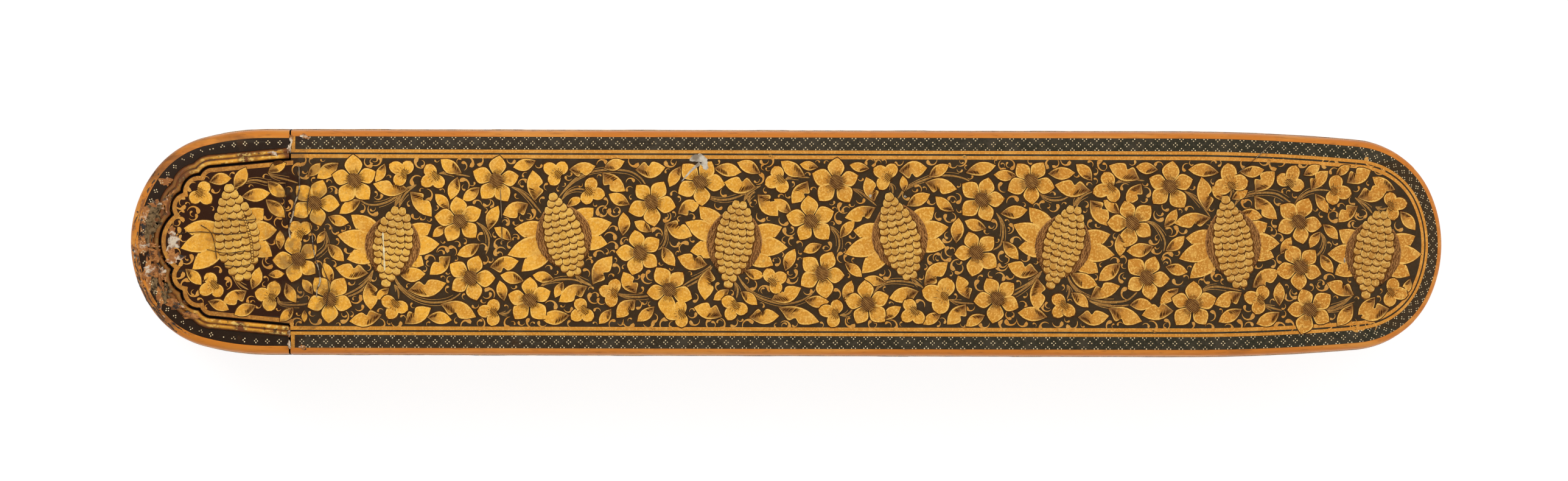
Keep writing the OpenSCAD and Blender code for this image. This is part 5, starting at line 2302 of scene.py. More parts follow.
    def fill(self, low: Pair, high: Pair, allowed: Callable[[float, float], bool], tries: int,
             finest: float = 0.8) -> None:
        """Fill what is free with small comma scrolls.

        Args:
            low: Lower corner of the field.
            high: Upper corner of the field.
            allowed: Tells whether a place is on the field.
            tries: Number of places that are tried for each size.
            finest: The smallest size.
        """
        space = FreeSpace(low, high, self.MAP_CELL)
        for layer, reach in ((self.stems, 0.2), (self.calyx, 0.32), (self.leaves, 0.24), (self.petals, 0.3),
                             (self.eyes, 0.4), (self.cores, 0.45)):
            for flat in layer.flat:
                space.mark(flat, reach * self.k)
        for size, room in self.CURLS:
            for _ in range(tries if size >= finest else 0):
                x = self.draw.uniform(low[0], high[0])
                y = self.draw.uniform(low[1], high[1])
                turn = self.draw.uniform(0.0, 2.0 * math.pi)
                flip = self.draw.random() < 0.5
                if not space.room(x, y, room * self.k) or not allowed(x, y):
                    continue
                half = size * self.k / 2.0
                way = (half * math.cos(turn), half * math.sin(turn))
                self.scrolls.stamp(self.shop.curl, (x - way[0], y - way[1]), (x + way[0], y + way[1]),
                                   size * self.k, self.LIFT.scroll, 0.0, flip)
                space.mark(self.scrolls.flat[-1], self.CURL_CLEAR * self.k)

    def field(self, place: Callable[[float, float], Pair], first_px: float, last_px: float,
              mirrored: bool) -> None:
        """Paint the vine of the top, or a stretch of it.

        Args:
            place: Turns a pixel into a place on the ground.
            first_px: Left limit of the stretch in the photograph.
            last_px: Right limit of the stretch in the photograph.
            mirrored: True where the stretch is upside down.
        """
        def within(*xs: float) -> bool:
            """Tell whether all pixels are in the stretch."""
            return all(first_px <= x <= last_px for x in xs)

        up = -1.0 if mirrored else 1.0
        for points in STEMS:
            if within(*(p[0] for p in points)):
                self.stem([place(*p) for p in points])
        for item in CLUSTERS:
            if within(*(p[0] for p in item.calyx)):
                self.cluster(item, place)
        for leaf in LEAVES:
            if within(leaf.base_x, leaf.tip_x):
                notch = (leaf.notch.value[0], leaf.notch.value[1] * up)
                self.leaf(place(leaf.base_x, leaf.base_y), place(leaf.tip_x, leaf.tip_y), notch)
        for spray in SPRAYS:
            if within(spray.eye_x - self.SPRAY_PX, spray.eye_x + self.SPRAY_PX):
                self.spray(place(spray.eye_x, spray.eye_y), place(spray.point_x, spray.point_y))
        for bloom in BLOSSOMS:
            if within(bloom.eye_x - self.BLOSSOM_PX, bloom.eye_x + self.BLOSSOM_PX):
                self.blossom(place(bloom.eye_x, bloom.eye_y), bloom.turn * up)

    def pieces(self, prefix: str, ground: Ground, finish: FinishSet, body: Body) -> None:
        """Lay every layer on a ground as a piece of its own.

        Args:
            prefix: Start of the pieces' names.
            ground: The surface.
            finish: The materials.
            body: The body they ride on.
        """
        for name, layer, look in (
                ("stems", self.stems, finish.stem_gold), ("scrolls", self.scrolls, finish.scroll_gold),
                ("calyx", self.calyx, finish.petal_gold), ("leaves", self.leaves, finish.gold),
                ("petals", self.petals, finish.petal_gold), ("eyes", self.eyes, finish.eye_gold),
                ("scales", self.scales, finish.bead_gold), ("hatching", self.hatching, finish.ink),
                ("outlines", self.outlines, finish.umber), ("cores", self.cores, finish.bead_gap),
                ("crescents", self.crescents, finish.crescent), ("veins", self.veins, finish.ink)):
            layer.piece(f"{prefix}_{name}", ground, look, body, Slot.BLACK)


@dataclass(frozen=True)
class Border:
    """The top's border: an orange edge, a dotted band and two gold lines, as distances in from the plan."""

    edge_from: float = -1.95
    edge_to: float = 1.42
    band_to: float = 3.66
    outer_line: Pair = (3.68, 4.24)
    inner_line: Pair = (4.56, 5.2)
    dot_pitch: float = 2.125
    dot_size: float = 0.215
    dot_spread: float = 0.31
    trefoil_foot: float = 0.16
    trefoil: bool = True
    lift: float = 0.05

    def edge(self, layer: PaintLayer, walk: Array) -> None:
        """Paint the orange edge over the shoulder."""
        layer.band(walk, np.concatenate([[self.edge_from], np.linspace(0.3, self.edge_to, 8)]), self.lift)

    def line(self, layer: PaintLayer, walk: Array, span: Pair) -> None:
        """Paint one gold line."""
        layer.band(walk, np.array([span[0], (span[0] + span[1]) / 2.0, span[1]]), self.lift)

    def dots(self, layer: PaintLayer, shop: MotifShop, span: Pair, low: float, high: float,
             loss: float) -> None:
        """Paint four-dot diamonds along a band's middle and three-dot trefoils along its edges.

        Args:
            layer: The layer of dots.
            shop: The modelled shapes.
            span: Where the band starts and stops.
            low: One edge of the band.
            high: Its other edge.
            loss: Share of the dots that is worn away.
        """
        draw = random.Random(int(span[1] * 10))
        count = max(2, int(round((span[1] - span[0]) / self.dot_pitch)))
        pitch = (span[1] - span[0]) / count
        middle = (low + high) / 2.0
        d = self.dot_spread
        diamond = [(d, middle), (-d, middle), (0.0, middle + d), (0.0, middle - d)]
        foot = self.trefoil_foot
        trefoils = [(x, low + y) for x, y in ((-d, foot), (d, foot), (0.0, foot + d))]
        trefoils += [(x, low + high - y) for x, y in trefoils]
        for i in range(0, 2 * count - 1, 1 if self.trefoil else 2):
            s = span[0] + (i + 1) * pitch / 2.0
            for x, y in trefoils if i % 2 else diamond:
                if draw.random() >= loss:
                    size = self.dot_size * draw.uniform(0.85, 1.1)
                    layer.spot(shop.dot, (s + x + draw.uniform(-0.03, 0.03), y), size, self.lift)


@dataclass
class SidePanel:
    """The painted side of the sleeve or of the head, between an upper and a lower border."""

    shop: MotifShop
    finish: FinishSet
    head: bool
    seed: int
    base_edge: Pair = (0.25, 2.6)
    low_band: Pair = (2.75, 4.95)
    low_lines: Pairs = ((5.05, 5.45), (5.85, 6.3))
    high_lines: Pairs = ((29.5, 29.95), (30.35, 30.75))
    high_band: Pair = (30.9, 33.1)
    shrink: float = 0.79
    end_margin: float = 0.8
    dots_margin: float = 0.3
    step: float = 0.8
    lift: float = 0.03
    loss: float = 0.06
    finest: float = 1.2
    tries_per_mm: int = 30
    fill_margin: Pair = (0.4, 0.3)
    sleeve_px: Pair = (530.0, 2180.0)
    head_px: Pair = (1108.0, 1990.0)
    border: Border = field(default_factory=Border)

    def build(self) -> None:
        """Paint the borders and the vine."""
        prefix = "head_side" if self.head else "sleeve_side"
        body = Body.DRAWER if self.head else Body.SLEEVE
        slot = Slot.BROWN if self.head else Slot.BLACK
        ground = SkinGround(self.head, True)
        walk = np.linspace(0.0, ground.total, int(ground.total / self.step))
        edge, lines, dots = (PaintLayer() for _ in range(3))
        edge.band(walk, np.linspace(*self.base_edge, 7), self.lift)
        for span in (*self.low_lines, *self.high_lines):
            lines.band(walk, np.array(span), self.lift)
        span = (self.dots_margin, ground.total - self.dots_margin)
        for low, high in (self.low_band, self.high_band):
            self.border.dots(dots, self.shop, span, low, high, self.loss)
        for name, layer, look in (("base_edge", edge, self.finish.edge),
                                  ("gold_lines", lines, self.finish.line_gold),
                                  ("border_dots", dots, self.finish.cream)):
            layer.piece(f"{prefix}_{name}", ground, look, body, slot)
        self._vine(prefix, ground, body)

    def _vine(self, prefix: str, ground: SkinGround, body: Body) -> None:
        """Repeat the top's vine along the side, every second stretch upside down.

        Args:
            prefix: Start of the pieces' names.
            ground: The side.
            body: The body they ride on.
        """
        low, high = self.low_lines[-1][1], self.high_lines[0][0]
        middle = (low + high) / 2.0
        painter = VinePainter(self.shop, self.shrink, self.seed)
        first, last = self.head_px if self.head else self.sleeve_px
        room = ground.total - 2.0 * self.end_margin
        turns = max(1, round(room / ((last - first) * self.shrink / VIEW.px_per_mm)))
        per_px = room / turns / (last - first)
        for turn in range(turns):
            up = -1.0 if turn % 2 else 1.0
            start = self.end_margin + turn * room / turns

            def place(px: float, py: float) -> Pair:
                """Turn a pixel into a place on the side."""
                return (start + (px - first) * per_px,
                        middle + up * (VIEW.vine_y_px - py) * self.shrink / VIEW.px_per_mm)

            painter.field(place, first, last, up < 0.0)
        end, side = self.fill_margin
        painter.fill((end, low + side), (ground.total - end, high - side), lambda x, y: True,
                     int(self.tries_per_mm * ground.total), self.finest)
        painter.pieces(prefix, ground, self.finish, body)


@dataclass
class Sleeve:
    """The sleeve with its tongue: shell, border, painted field, wear and a painted glint."""

    shop: MotifShop
    finish: FinishSet
    border: Border = field(default_factory=Border)
    tip_squeeze: float = 0.24
    cavity_z: Pair = (2.4, 35.4)
    cavity_half_w: float = 17.0
    cavity_end: float = 112.1
    end_strip: Pair = (0.1, 0.75)
    tongue_line: Pair = (-0.12, -0.85)
    spare_z: float = 37.9
    flat_angle: float = 0.3
    border_step: float = 0.6
    strip_lift: float = 0.06
    scar_lift: float = 0.14
    crack_lift: float = 0.25
    tongue_clear: float = 0.3
    line_clear: float = 0.35
    round_back: float = 4.0
    round_flat: float = 1.12
    round_clear: float = 1.2
    slack: Pair = (0.05, 0.06)
    line_end: float = 0.4
    dots_margin: float = 0.9
    dots_loss: float = 0.03
    bead_core: Pair = (0.56, 0.25)
    bead_dot: Pair = (0.36, 0.26)
    crack_shadow: float = 1.45
    crack_over: float = 0.018
    craze_half: Pair = (0.03, 0.09)
    craze_over: float = 0.025
    streak_half: Pair = (0.07, 0.11)
    streak_over: float = 0.03
    scuff_over: float = 0.01
    tail_half: Pair = (0.3, 0.08)
    gesso_lift: float = 0.1
    gesso_ragged: float = 0.45
    tries: int = 16000
    seed: int = 7
    side_seed: int = 41

    def build(self) -> None:
        """Build every piece of the sleeve."""
        self._shell()
        self._border()
        self._field()
        SidePanel(self.shop, self.finish, False, self.side_seed).build()
        self._wear()

    def _shell(self) -> None:
        """Take the shell from the frame and split off its lining."""
        shell = Bench.copy_node("sleeve_shell", "sleeve_lacquer")
        Bench.make_room(shell, False)
        Bench.flatten(shell, self.flat_angle)
        lining = Bench.link("sleeve_lining", shell.data.copy())
        for piece, keep_inside in ((shell, False), (lining, True)):
            Bench.drop(piece, lambda face, keep=keep_inside: self._inside(face) != keep)
            Bench.even(piece)
        Bench.deliver(shell, self.finish.ground, Body.SLEEVE, Slot.BLACK, "sleeve_shell")
        Bench.deliver(lining, self.finish.red, Body.SLEEVE, Slot.RED)

    def _inside(self, face: bpy.types.MeshPolygon) -> bool:
        """Tell whether a face of the shell is on its inside.

        Args:
            face: The face.

        Returns:
            True where it is.
        """
        x, y, z = (c / MM for c in face.center)
        low, high = self.cavity_z
        outward = face.normal.x * x + face.normal.y * y + face.normal.z * (z - (low + high) / 2.0)
        near, far = self.slack
        return (outward < 0.0 and low - near < z < high + near and abs(y) < self.cavity_half_w + far
                and FORM.seam_x + near < x < self.cavity_end + far)

    def _border(self) -> None:
        """Paint the border round the top, and the line round the tongue."""
        ground = SkinGround(False, False, self.tip_squeeze)
        walk = np.linspace(0.0, ground.total, int(ground.total / self.border_step))
        edge, lines, strip, dots, rim = (PaintLayer() for _ in range(5))
        border = self.border
        border.edge(edge, walk)
        border.line(lines, walk, border.outer_line)
        border.line(lines, walk, border.inner_line)
        across = np.linspace(border.edge_to, border.outer_line[0], 5)
        for near in (self.end_strip, tuple(ground.total - e for e in self.end_strip[::-1])):
            strip.band(np.array(near), across, self.strip_lift)
        span = (self.dots_margin, ground.total - self.dots_margin)
        border.dots(dots, self.shop, span, border.edge_to, border.band_to, self.dots_loss)
        outer, inner = (TONGUE.outline(grow, FORM.seam_x + self.line_end) for grow in self.tongue_line)
        rim.loft(outer, inner, self.strip_lift)
        top = TopGround(["sleeve_shell"], self.spare_z)
        finish = self.finish
        for name, layer, place, look, slot in (
                ("sleeve_orange_edge", edge, ground, finish.edge, Slot.BROWN),
                ("sleeve_gold_lines", lines, ground, finish.line_gold, Slot.BLACK),
                ("sleeve_end_strips", strip, ground, finish.line_gold, Slot.BLACK),
                ("sleeve_border_dots", dots, ground, finish.cream, Slot.BLACK),
                ("tongue_gold_line", rim, top, finish.tongue_gold, Slot.BLACK)):
            layer.piece(name, place, look, Body.SLEEVE, slot)

    def allowed(self, x: float, y: float) -> bool:
        """Tell whether a place is on the painted field.

        Args:
            x: Place along the box.
            y: Place across the box.

        Returns:
            True where it is.
        """
        if x < FORM.seam_x:
            return TONGUE.holds(x, y, self.tongue_line[1] - self.tongue_clear)
        if abs(y) > FORM.width / 2.0 - self.border.inner_line[1] - self.line_clear:
            return False
        round_x = FORM.length / 2.0 - FORM.tip_r - self.round_back
        if x < round_x - self.round_back:
            return True
        return math.hypot(max(0.0, x - round_x), y * self.round_flat) < FORM.tip_r - self.round_clear

    def _field(self) -> None:
        """Paint the vine as the photograph shows it."""
        painter = VinePainter(self.shop, 1.0, self.seed)
        painter.field(VIEW.place, 0.0, VIEW.frame_w_px, False)
        for px, py in BEAD_ROW:
            bead = VIEW.place(px, py)
            painter.cores.spot(self.shop.disc, bead, *self.bead_core)
            painter.scales.spot(self.shop.dot, bead, *self.bead_dot)
        corner = (FORM.length / 2.0, FORM.width / 2.0)
        painter.fill((-corner[0], -corner[1]), corner, self.allowed, self.tries)
        painter.pieces("top", TopGround(["sleeve_shell"], self.spare_z), self.finish, Body.SLEEVE)

    def _wear(self) -> None:
        """Add the cracks, scuffs and chips that the photograph shows, with painted shadows along the cracks
        and a painted glint.
        """
        ground = TopGround(["sleeve_shell"], self.spare_z)
        lost, dark, cracks, scuffs, glint = (PaintLayer() for _ in range(5))
        for width, points in CRACKS:
            path = VIEW.path(points)
            draw = random.Random(len(points))
            half = np.array([draw.uniform(0.4, 1.0) for _ in path]) * width / 2.0
            half[[0, -1]] *= 0.2
            # a wider dark ribbon under each crack: painted shadow along it
            dark.ribbon(path, half * self.crack_shadow, self.crack_lift)
            first = 0
            while first < len(path) - 2:
                last = first + draw.randint(3, 7)
                cracks.ribbon(path[first:last], half[first:last] * draw.uniform(0.8, 1.25),
                              self.crack_lift + self.crack_over)
                first = last + draw.randint(0, 2)
        # a pale ragged streak that stands for a glint of light: painted highlight
        path = VIEW.path(GLINT_STREAK)
        ragged = np.sin(np.linspace(0.3, 9.0, len(path))) ** 2
        thin, more = self.streak_half
        glint.ribbon(path, thin + more * ragged, self.crack_lift + self.streak_over)
        scuffs.blots(SCUFFS, self.scar_lift + self.scuff_over)
        path = VIEW.path(SCUFF_TAIL)
        scuffs.ribbon(path, np.linspace(*self.tail_half, len(path)), self.scar_lift)
        lost.blots(TONGUE_GESSO, self.gesso_lift, self.gesso_ragged)
        for points in CRAZING:
            path = VIEW.path(points)
            draw = random.Random(int(points[0][0]))
            half = np.array([draw.uniform(*self.craze_half) for _ in path])
            dark.ribbon(path, half, self.crack_lift + self.craze_over)
        finish = self.finish
        for name, layer, look in (("tongue_bare_gesso", lost, finish.bare),
                                  ("top_crackle_and_crack_shadows", dark, finish.crackle),
                                  ("top_cracks", cracks, finish.scuff),
                                  ("top_scuffs", scuffs, finish.gesso),
                                  ("top_painted_glint", glint, finish.glint)):
            layer.piece(name, ground, look, Body.SLEEVE, Slot.BLACK)


@dataclass
class Head:
    """The drawer's head: block, border, gilt moulding, side and wear."""

    shop: MotifShop
    finish: FinishSet
    border: Border = field(default_factory=lambda: Border(
        edge_to=1.72, dot_size=0.24, dot_spread=0.29, trefoil=False))
    tongue_gap: float = 0.35
    ledge_z: float = 35.9
    crest_z: float = 38.3
    section: Pairs = ((0.0, 0.55), (0.12, 0.16), (0.36, 0.0), (0.66, 0.06), (0.84, 0.3), (0.96, 0.32),
                      (1.12, 0.14), (1.36, 0.1), (1.62, 0.24), (1.82, 0.65), (1.9, 0.95))
    spare_z: float = 37.4
    flat_angle: float = 0.3
    border_step: float = 0.5
    crease: float = 50.0
    side_seed: int = 43
    dots_margin: float = 0.6
    dots_inset: float = 0.3
    dots_loss: float = 0.12
    rubbed_lift: float = 0.052
    flaked_lift: float = 0.055
    gesso_lift: float = 0.085
    patch_ragged: float = 0.4
    flake_count: int = 54
    flake_seed: int = 41
    flake_edge_seed: int = 60
    flake_span: Triple = (0.27, 0.83, 0.56)
    flake_len: Pair = (0.35, 1.25)
    flake_w: Pair = (0.1, 0.3)
    flake_from: float = 0.62
    flake_clear: float = 0.1
    flake_lift: float = 0.062
    speck_lift: float = 0.07
    speck_share: Pair = (0.4, 0.55)
    crack_half: Pair = (0.04, 0.16)
    crack_lift: float = 0.066
    ragged: float = 0.45
    edge_cracks: Tuple[Triple, ...] = ((0.54, 0.60, 0.95), (0.58, 0.67, 0.62), (0.61, 0.70, 1.15),
                                       (0.66, 0.74, 0.8))

    def build(self) -> None:
        """Build every piece of the head."""
        block = Bench.copy_node("head_block", "head_lacquer")
        Bench.make_room(block, True)
        Bench.flatten(block, self.flat_angle)
        Bench.even(block)
        Bench.deliver(block, self.finish.head_ground, Body.DRAWER, Slot.BROWN, "head_block")
        self._moulding()
        self._border()
        SidePanel(self.shop, self.finish, True, self.side_seed).build()
        self._wear()

    def _moulding(self) -> None:
        """Sweep the gilt moulding round the recess: two reeds with a groove, each depth below the crest."""
        profile = [(0.0, self.ledge_z), *((out, self.crest_z - down) for out, down in self.section),
                   (self.section[-1][0], self.ledge_z)]
        end = FORM.seam_x - FORM.seam_gap
        rings = [np.insert(TONGUE.outline(self.tongue_gap + out, end), 2, z, axis=1) for out, z in profile]
        columns = len(rings)
        rows = len(rings[0])
        faces = [(r * columns + c, r * columns + (c + 1) % columns, (r + 1) * columns + (c + 1) % columns,
                  (r + 1) * columns + c) for r in range(rows - 1) for c in range(columns)]
        faces += [tuple(range(columns))[::-1], tuple((rows - 1) * columns + c for c in range(columns))]
        made = Bench.sheet("gilt_moulding", np.stack(rings, axis=1).reshape(-1, 3), faces)
        Bench.edit(made, lambda: bpy.ops.mesh.remove_doubles(threshold=1e-6),
                   lambda: bpy.ops.mesh.normals_make_consistent(inside=False))
        Bench.smooth(made, self.crease)
        Bench.deliver(made, self.finish.gilt, Body.DRAWER, Slot.GILT, "lobed_moulding")

    def _border(self) -> None:
        """Paint the orange edge and the dotted band."""
        ground = SkinGround(True, False)
        walk = np.linspace(0.0, ground.total, int(ground.total / self.border_step))
        edge, dots = PaintLayer(), PaintLayer()
        border = self.border
        border.edge(edge, walk)
        span = (self.dots_margin, ground.total - self.dots_margin)
        border.dots(dots, self.shop, span, border.edge_to, border.band_to - self.dots_inset, self.dots_loss)
        edge.piece("head_orange_edge", ground, self.finish.head_edge, Body.DRAWER, Slot.BROWN)
        dots.piece("head_border_dots", ground, self.finish.cream, Body.DRAWER, Slot.BROWN)

    def _wear(self) -> None:
        """Add the bare gesso and the flaked places of the head and of the moulding."""
        self._edge_flakes()
        ground = TopGround(["head_block", "lobed_moulding"], self.spare_z)
        for name, look, patches, lift, ragged in (
                ("head_rubbed_band", self.finish.rubbed, HEAD_RUBBED, self.rubbed_lift, self.patch_ragged),
                ("head_flaked_paint", self.finish.flaked, HEAD_FLAKED, self.flaked_lift, self.patch_ragged),
                ("head_bare_gesso", self.finish.bare, HEAD_GESSO, self.gesso_lift, self.ragged)):
            layer = PaintLayer()
            layer.blots(patches, lift, ragged)
            layer.piece(name, ground, look, Body.DRAWER, Slot.BROWN)

    def _edge_flakes(self) -> None:
        """Flake the orange edge round the head's tip, and crack it along the worn lower part."""
        ground = SkinGround(True, False)
        draw = random.Random(self.flake_seed)
        flakes, specks = PaintLayer(), PaintLayer()
        for i in range(self.flake_count):
            s = ground.total * draw.triangular(*self.flake_span)
            size = (draw.uniform(*self.flake_len), draw.uniform(*self.flake_w))
            d = draw.uniform(self.flake_from, self.border.edge_to - self.flake_clear)
            seed = self.flake_edge_seed + i
            if i % 3:
                flakes.blot((s, d), size, self.flake_lift, seed, ragged=self.ragged)
            else:
                small = (size[0] * self.speck_share[0], size[1] * self.speck_share[1])
                specks.blot((s, d), small, self.speck_lift, seed, ragged=self.ragged)
        for start, stop, d in self.edge_cracks:
            walk = np.linspace(start, stop, 24) * ground.total
            wave = np.array([d + 0.1 * math.sin(1.7 * w) + draw.uniform(-0.04, 0.04) for w in walk])
            half = np.array([draw.uniform(*self.crack_half) for _ in walk])
            specks.ribbon(np.column_stack([walk, wave]), half, self.crack_lift)
        flakes.piece("head_edge_flakes", ground, self.finish.flaked, Body.DRAWER, Slot.BROWN)
        specks.piece("head_edge_specks", ground, self.finish.crackle, Body.DRAWER, Slot.BROWN)


@dataclass
class Drawer:
    """The drawer's tray and its partition, with a gilt rim and a running vine along the tray's outside."""

    shop: MotifShop
    finish: FinishSet
    rim_z: float = 28.7
    floor_z: float = 4.7
    inset: float = 3.25
    shift_x: float = -1.0
    rim_line: Pair = (3.72, 4.58)
    side_lines: Pairs = ((4.0, 4.5), (5.0, 5.25), (26.1, 26.35), (26.9, 27.4))
    wave: Pair = (19.0, 4.6)
    leaves: Tuple[Triple, ...] = ((0.14, 5.04, 1.5), (0.5, 3.2, 2.6), (0.84, 5.04, -1.5))
    edge_w: float = 0.3
    rim_lift: float = 0.03
    line_lift: float = 0.1
    leaf_off: float = 0.25
    blossom_off: float = 3.4
    fill_margin: Pair = (0.5, 0.3)
    drop_lift: float = 0.02
    drop_oval: float = 0.8
    vine_scale: float = 0.72
    vine_seed: int = 53
    stem_weight: float = 1.9
    step: float = 0.8
    tries_per_mm: int = 8
    finest: float = 1.8
    drops: Tuple[Tuple[float, float, float, int], ...] = (
        (-54.0, 13.2, 0.8, 1), (-49.0, 5.2, 0.5, 2), (-38.5, 5.6, 0.7, 3), (-44.0, -14.0, 0.5, 4),
        (46.0, 5.4, 0.5, 5), (88.0, 8.0, 1.3, 6), (91.5, 4.6, 0.6, 7), (84.5, -9.0, 1.0, 8),
        (97.0, -2.0, 0.8, 9), (-84.5, 11.0, 1.0, 10), (-85.0, -9.5, 0.6, 11))

    def build(self) -> None:
        """Build the tray's pieces."""
        for node, name in (("tray_trough", "tray_lacquer"), ("inkwell_partition", "partition_lacquer")):
            piece = Bench.copy_node(node, name)
            Bench.soften(piece, self.edge_w)
            Bench.deliver(piece, self.finish.red, Body.DRAWER, Slot.RED, node)
        wall = TrayGround(self.inset, self.rim_z, False, self.shift_x)
        ledge = TrayGround(self.inset, self.rim_z, True, self.shift_x)
        walk = np.linspace(0.0, wall.total, int(wall.total / self.step))
        rim, lines = PaintLayer(), PaintLayer()
        rim.band(walk, np.array(self.rim_line), self.rim_lift)
        for span in self.side_lines:
            lines.band(walk, np.array(span), self.line_lift)
        rim.piece("tray_rim_gilding", ledge, self.finish.line_gold, Body.DRAWER, Slot.RED)
        lines.piece("tray_gold_lines", wall, self.finish.line_gold, Body.DRAWER, Slot.RED)
        self._vine(wall)
        self._spills()

    def _vine(self, wall: TrayGround) -> None:
        """Run a wavy stem with blossoms and leaves round the tray's outside.

        Args:
            wall: The tray's outside.
        """
        low, high = self.side_lines[1][1], self.side_lines[2][0]
        middle = (low + high) / 2.0
        painter = VinePainter(self.shop, self.vine_scale, self.vine_seed)
        turns = int(wall.total / self.wave[0])
        period = wall.total / turns

        def on_wave(s: float, off: float = 0.0) -> Pair:
            """Find the stem, or a place off to one side of it."""
            return (s, middle + self.wave[1] * math.sin(2.0 * math.pi * s / period) + off)

        for i in range(2 * turns):
            start = i * period / 2.0
            up = -1.0 if i % 2 else 1.0
            painter.stem([on_wave(start + period * t / 2.0) for t in np.linspace(0.0, 1.0, 7)],
                         self.stem_weight)
            for t, reach, lean in self.leaves:
                base = on_wave(start + period * t / 2.0, self.leaf_off * up)
                tip = (base[0] + lean, base[1] + up * reach)
                painter.leaf(base, tip, Notch.NONE.value)
            painter.blossom((start + period / 4.0, middle - up * self.blossom_off), 90.0 * up)
        end, side = self.fill_margin
        painter.fill((end, low + side), (wall.total - end, high - side), lambda x, y: True,
                     int(self.tries_per_mm * wall.total), self.finest)
        painter.pieces("tray_side", wall, self.finish, Body.DRAWER)

    def _spills(self) -> None:
        """Leave dried drops of ink on the tray's floor."""
        spilt = PaintLayer()
        for x, y, size, seed in self.drops:
            spilt.blot((x, y), (size, size * self.drop_oval), self.drop_lift, seed)
        floor = TopGround(["tray_trough"], self.floor_z)
        spilt.piece("tray_ink_drops", floor, self.finish.dry_ink, Body.DRAWER, Slot.RED)


@dataclass
class Inkwell:
    """The brass inkwell: cup, collar with its hinge, lid and finial, with turned rings and dried ink."""

    shop: MotifShop
    finish: FinishSet
    centre_x: float = -72.4
    collar_z: float = 17.05
    lid_top_z: float = 20.65
    ink_z: float = 6.2
    ink_r: float = 12.0
    ink_dome: float = 0.5
    edge_w: float = 0.12
    collar_rings: Pairs = ((12.5, 0.3), (9.75, 0.16))
    collar_beads: Tuple[float, int] = (11.1, 30)
    lid_rings: Pairs = ((5.6, 0.25), (3.0, 0.14))
    lid_beads: Tuple[float, int] = (4.3, 16)
    ring_lift: float = 0.14
    bead_size: float = 0.9
    bead_dome: float = 0.5
    bead_lift: float = 0.06
    stain_oval: float = 0.7
    stain_lift: float = 0.02
    stains: Tuple[Tuple[float, float, float, int], ...] = (
        (70.0, 7.3, 0.9, 1), (110.0, 6.9, 0.6, 2), (160.0, 7.6, 1.1, 3), (225.0, 7.2, 0.8, 4),
        (285.0, 7.9, 0.6, 5))

    def build(self) -> None:
        """Build the inkwell's pieces."""
        for node, name, body in (("inkwell_cup", "brass_cup", Body.DRAWER),
                                 ("inkwell_collar", "brass_collar", Body.DRAWER),
                                 ("hinge_pin", "brass_hinge_pin", Body.DRAWER),
                                 ("inkwell_lid", "brass_lid", Body.LID),
                                 ("lid_finial", "brass_finial", Body.LID)):
            piece = Bench.copy_node(node, name)
            Bench.soften(piece, self.edge_w)
            Bench.deliver(piece, self.finish.brass, body, Slot.BRASS, node)
        collar = TopGround(["inkwell_collar"], self.collar_z)
        lid = TopGround(["inkwell_lid"], self.lid_top_z)
        self._rings("collar", collar, Body.DRAWER, self.collar_rings, *self.collar_beads)
        self._rings("lid", lid, Body.LID, self.lid_rings, *self.lid_beads)
        pool = Bench.stud("dried_ink", (self.centre_x, 0.0, self.ink_z), self.ink_r, self.ink_dome)
        Bench.deliver(pool, self.finish.dry_ink, Body.DRAWER, Slot.BRASS)
        dried = PaintLayer()
        for turn, reach, size, seed in self.stains:
            a = math.radians(turn)
            centre = (self.centre_x + reach * math.cos(a), reach * math.sin(a))
            dried.blot(centre, (size, size * self.stain_oval), self.stain_lift, seed)
        dried.piece("collar_ink_stains", collar, self.finish.dry_ink, Body.DRAWER, Slot.BRASS)

    def _rings(self, name: str, ground: Ground, body: Body, rings: Pairs, beads_r: float,
               beads: int) -> None:
        """Turn raised rings and a row of punched beads on a round top.

        Args:
            name: Prefix of the pieces' names.
            ground: The top.
            body: The body it rides on.
            rings: Radius and half width of each ring.
            beads_r: Radius of the row of beads.
            beads: Number of beads.
        """
        turn = np.linspace(0.0, 2.0 * math.pi, 73)
        circle = np.column_stack([np.cos(turn), np.sin(turn)])
        raised, studs = PaintLayer(), PaintLayer(self.bead_dome)
        for radius, half in rings:
            path = circle * radius + [self.centre_x, 0.0]
            raised.ribbon(path, np.full(len(turn), half), self.ring_lift)
        for i in range(beads):
            a = 2.0 * math.pi * (i + 0.5) / beads
            centre = (self.centre_x + beads_r * math.cos(a), beads_r * math.sin(a))
            studs.spot(self.shop.disc, centre, self.bead_size, self.bead_lift)
        raised.piece(f"{name}_turned_rings", ground, self.finish.brass, body, Slot.BRASS)
        studs.piece(f"{name}_beads", ground, self.finish.brass, body, Slot.BRASS)


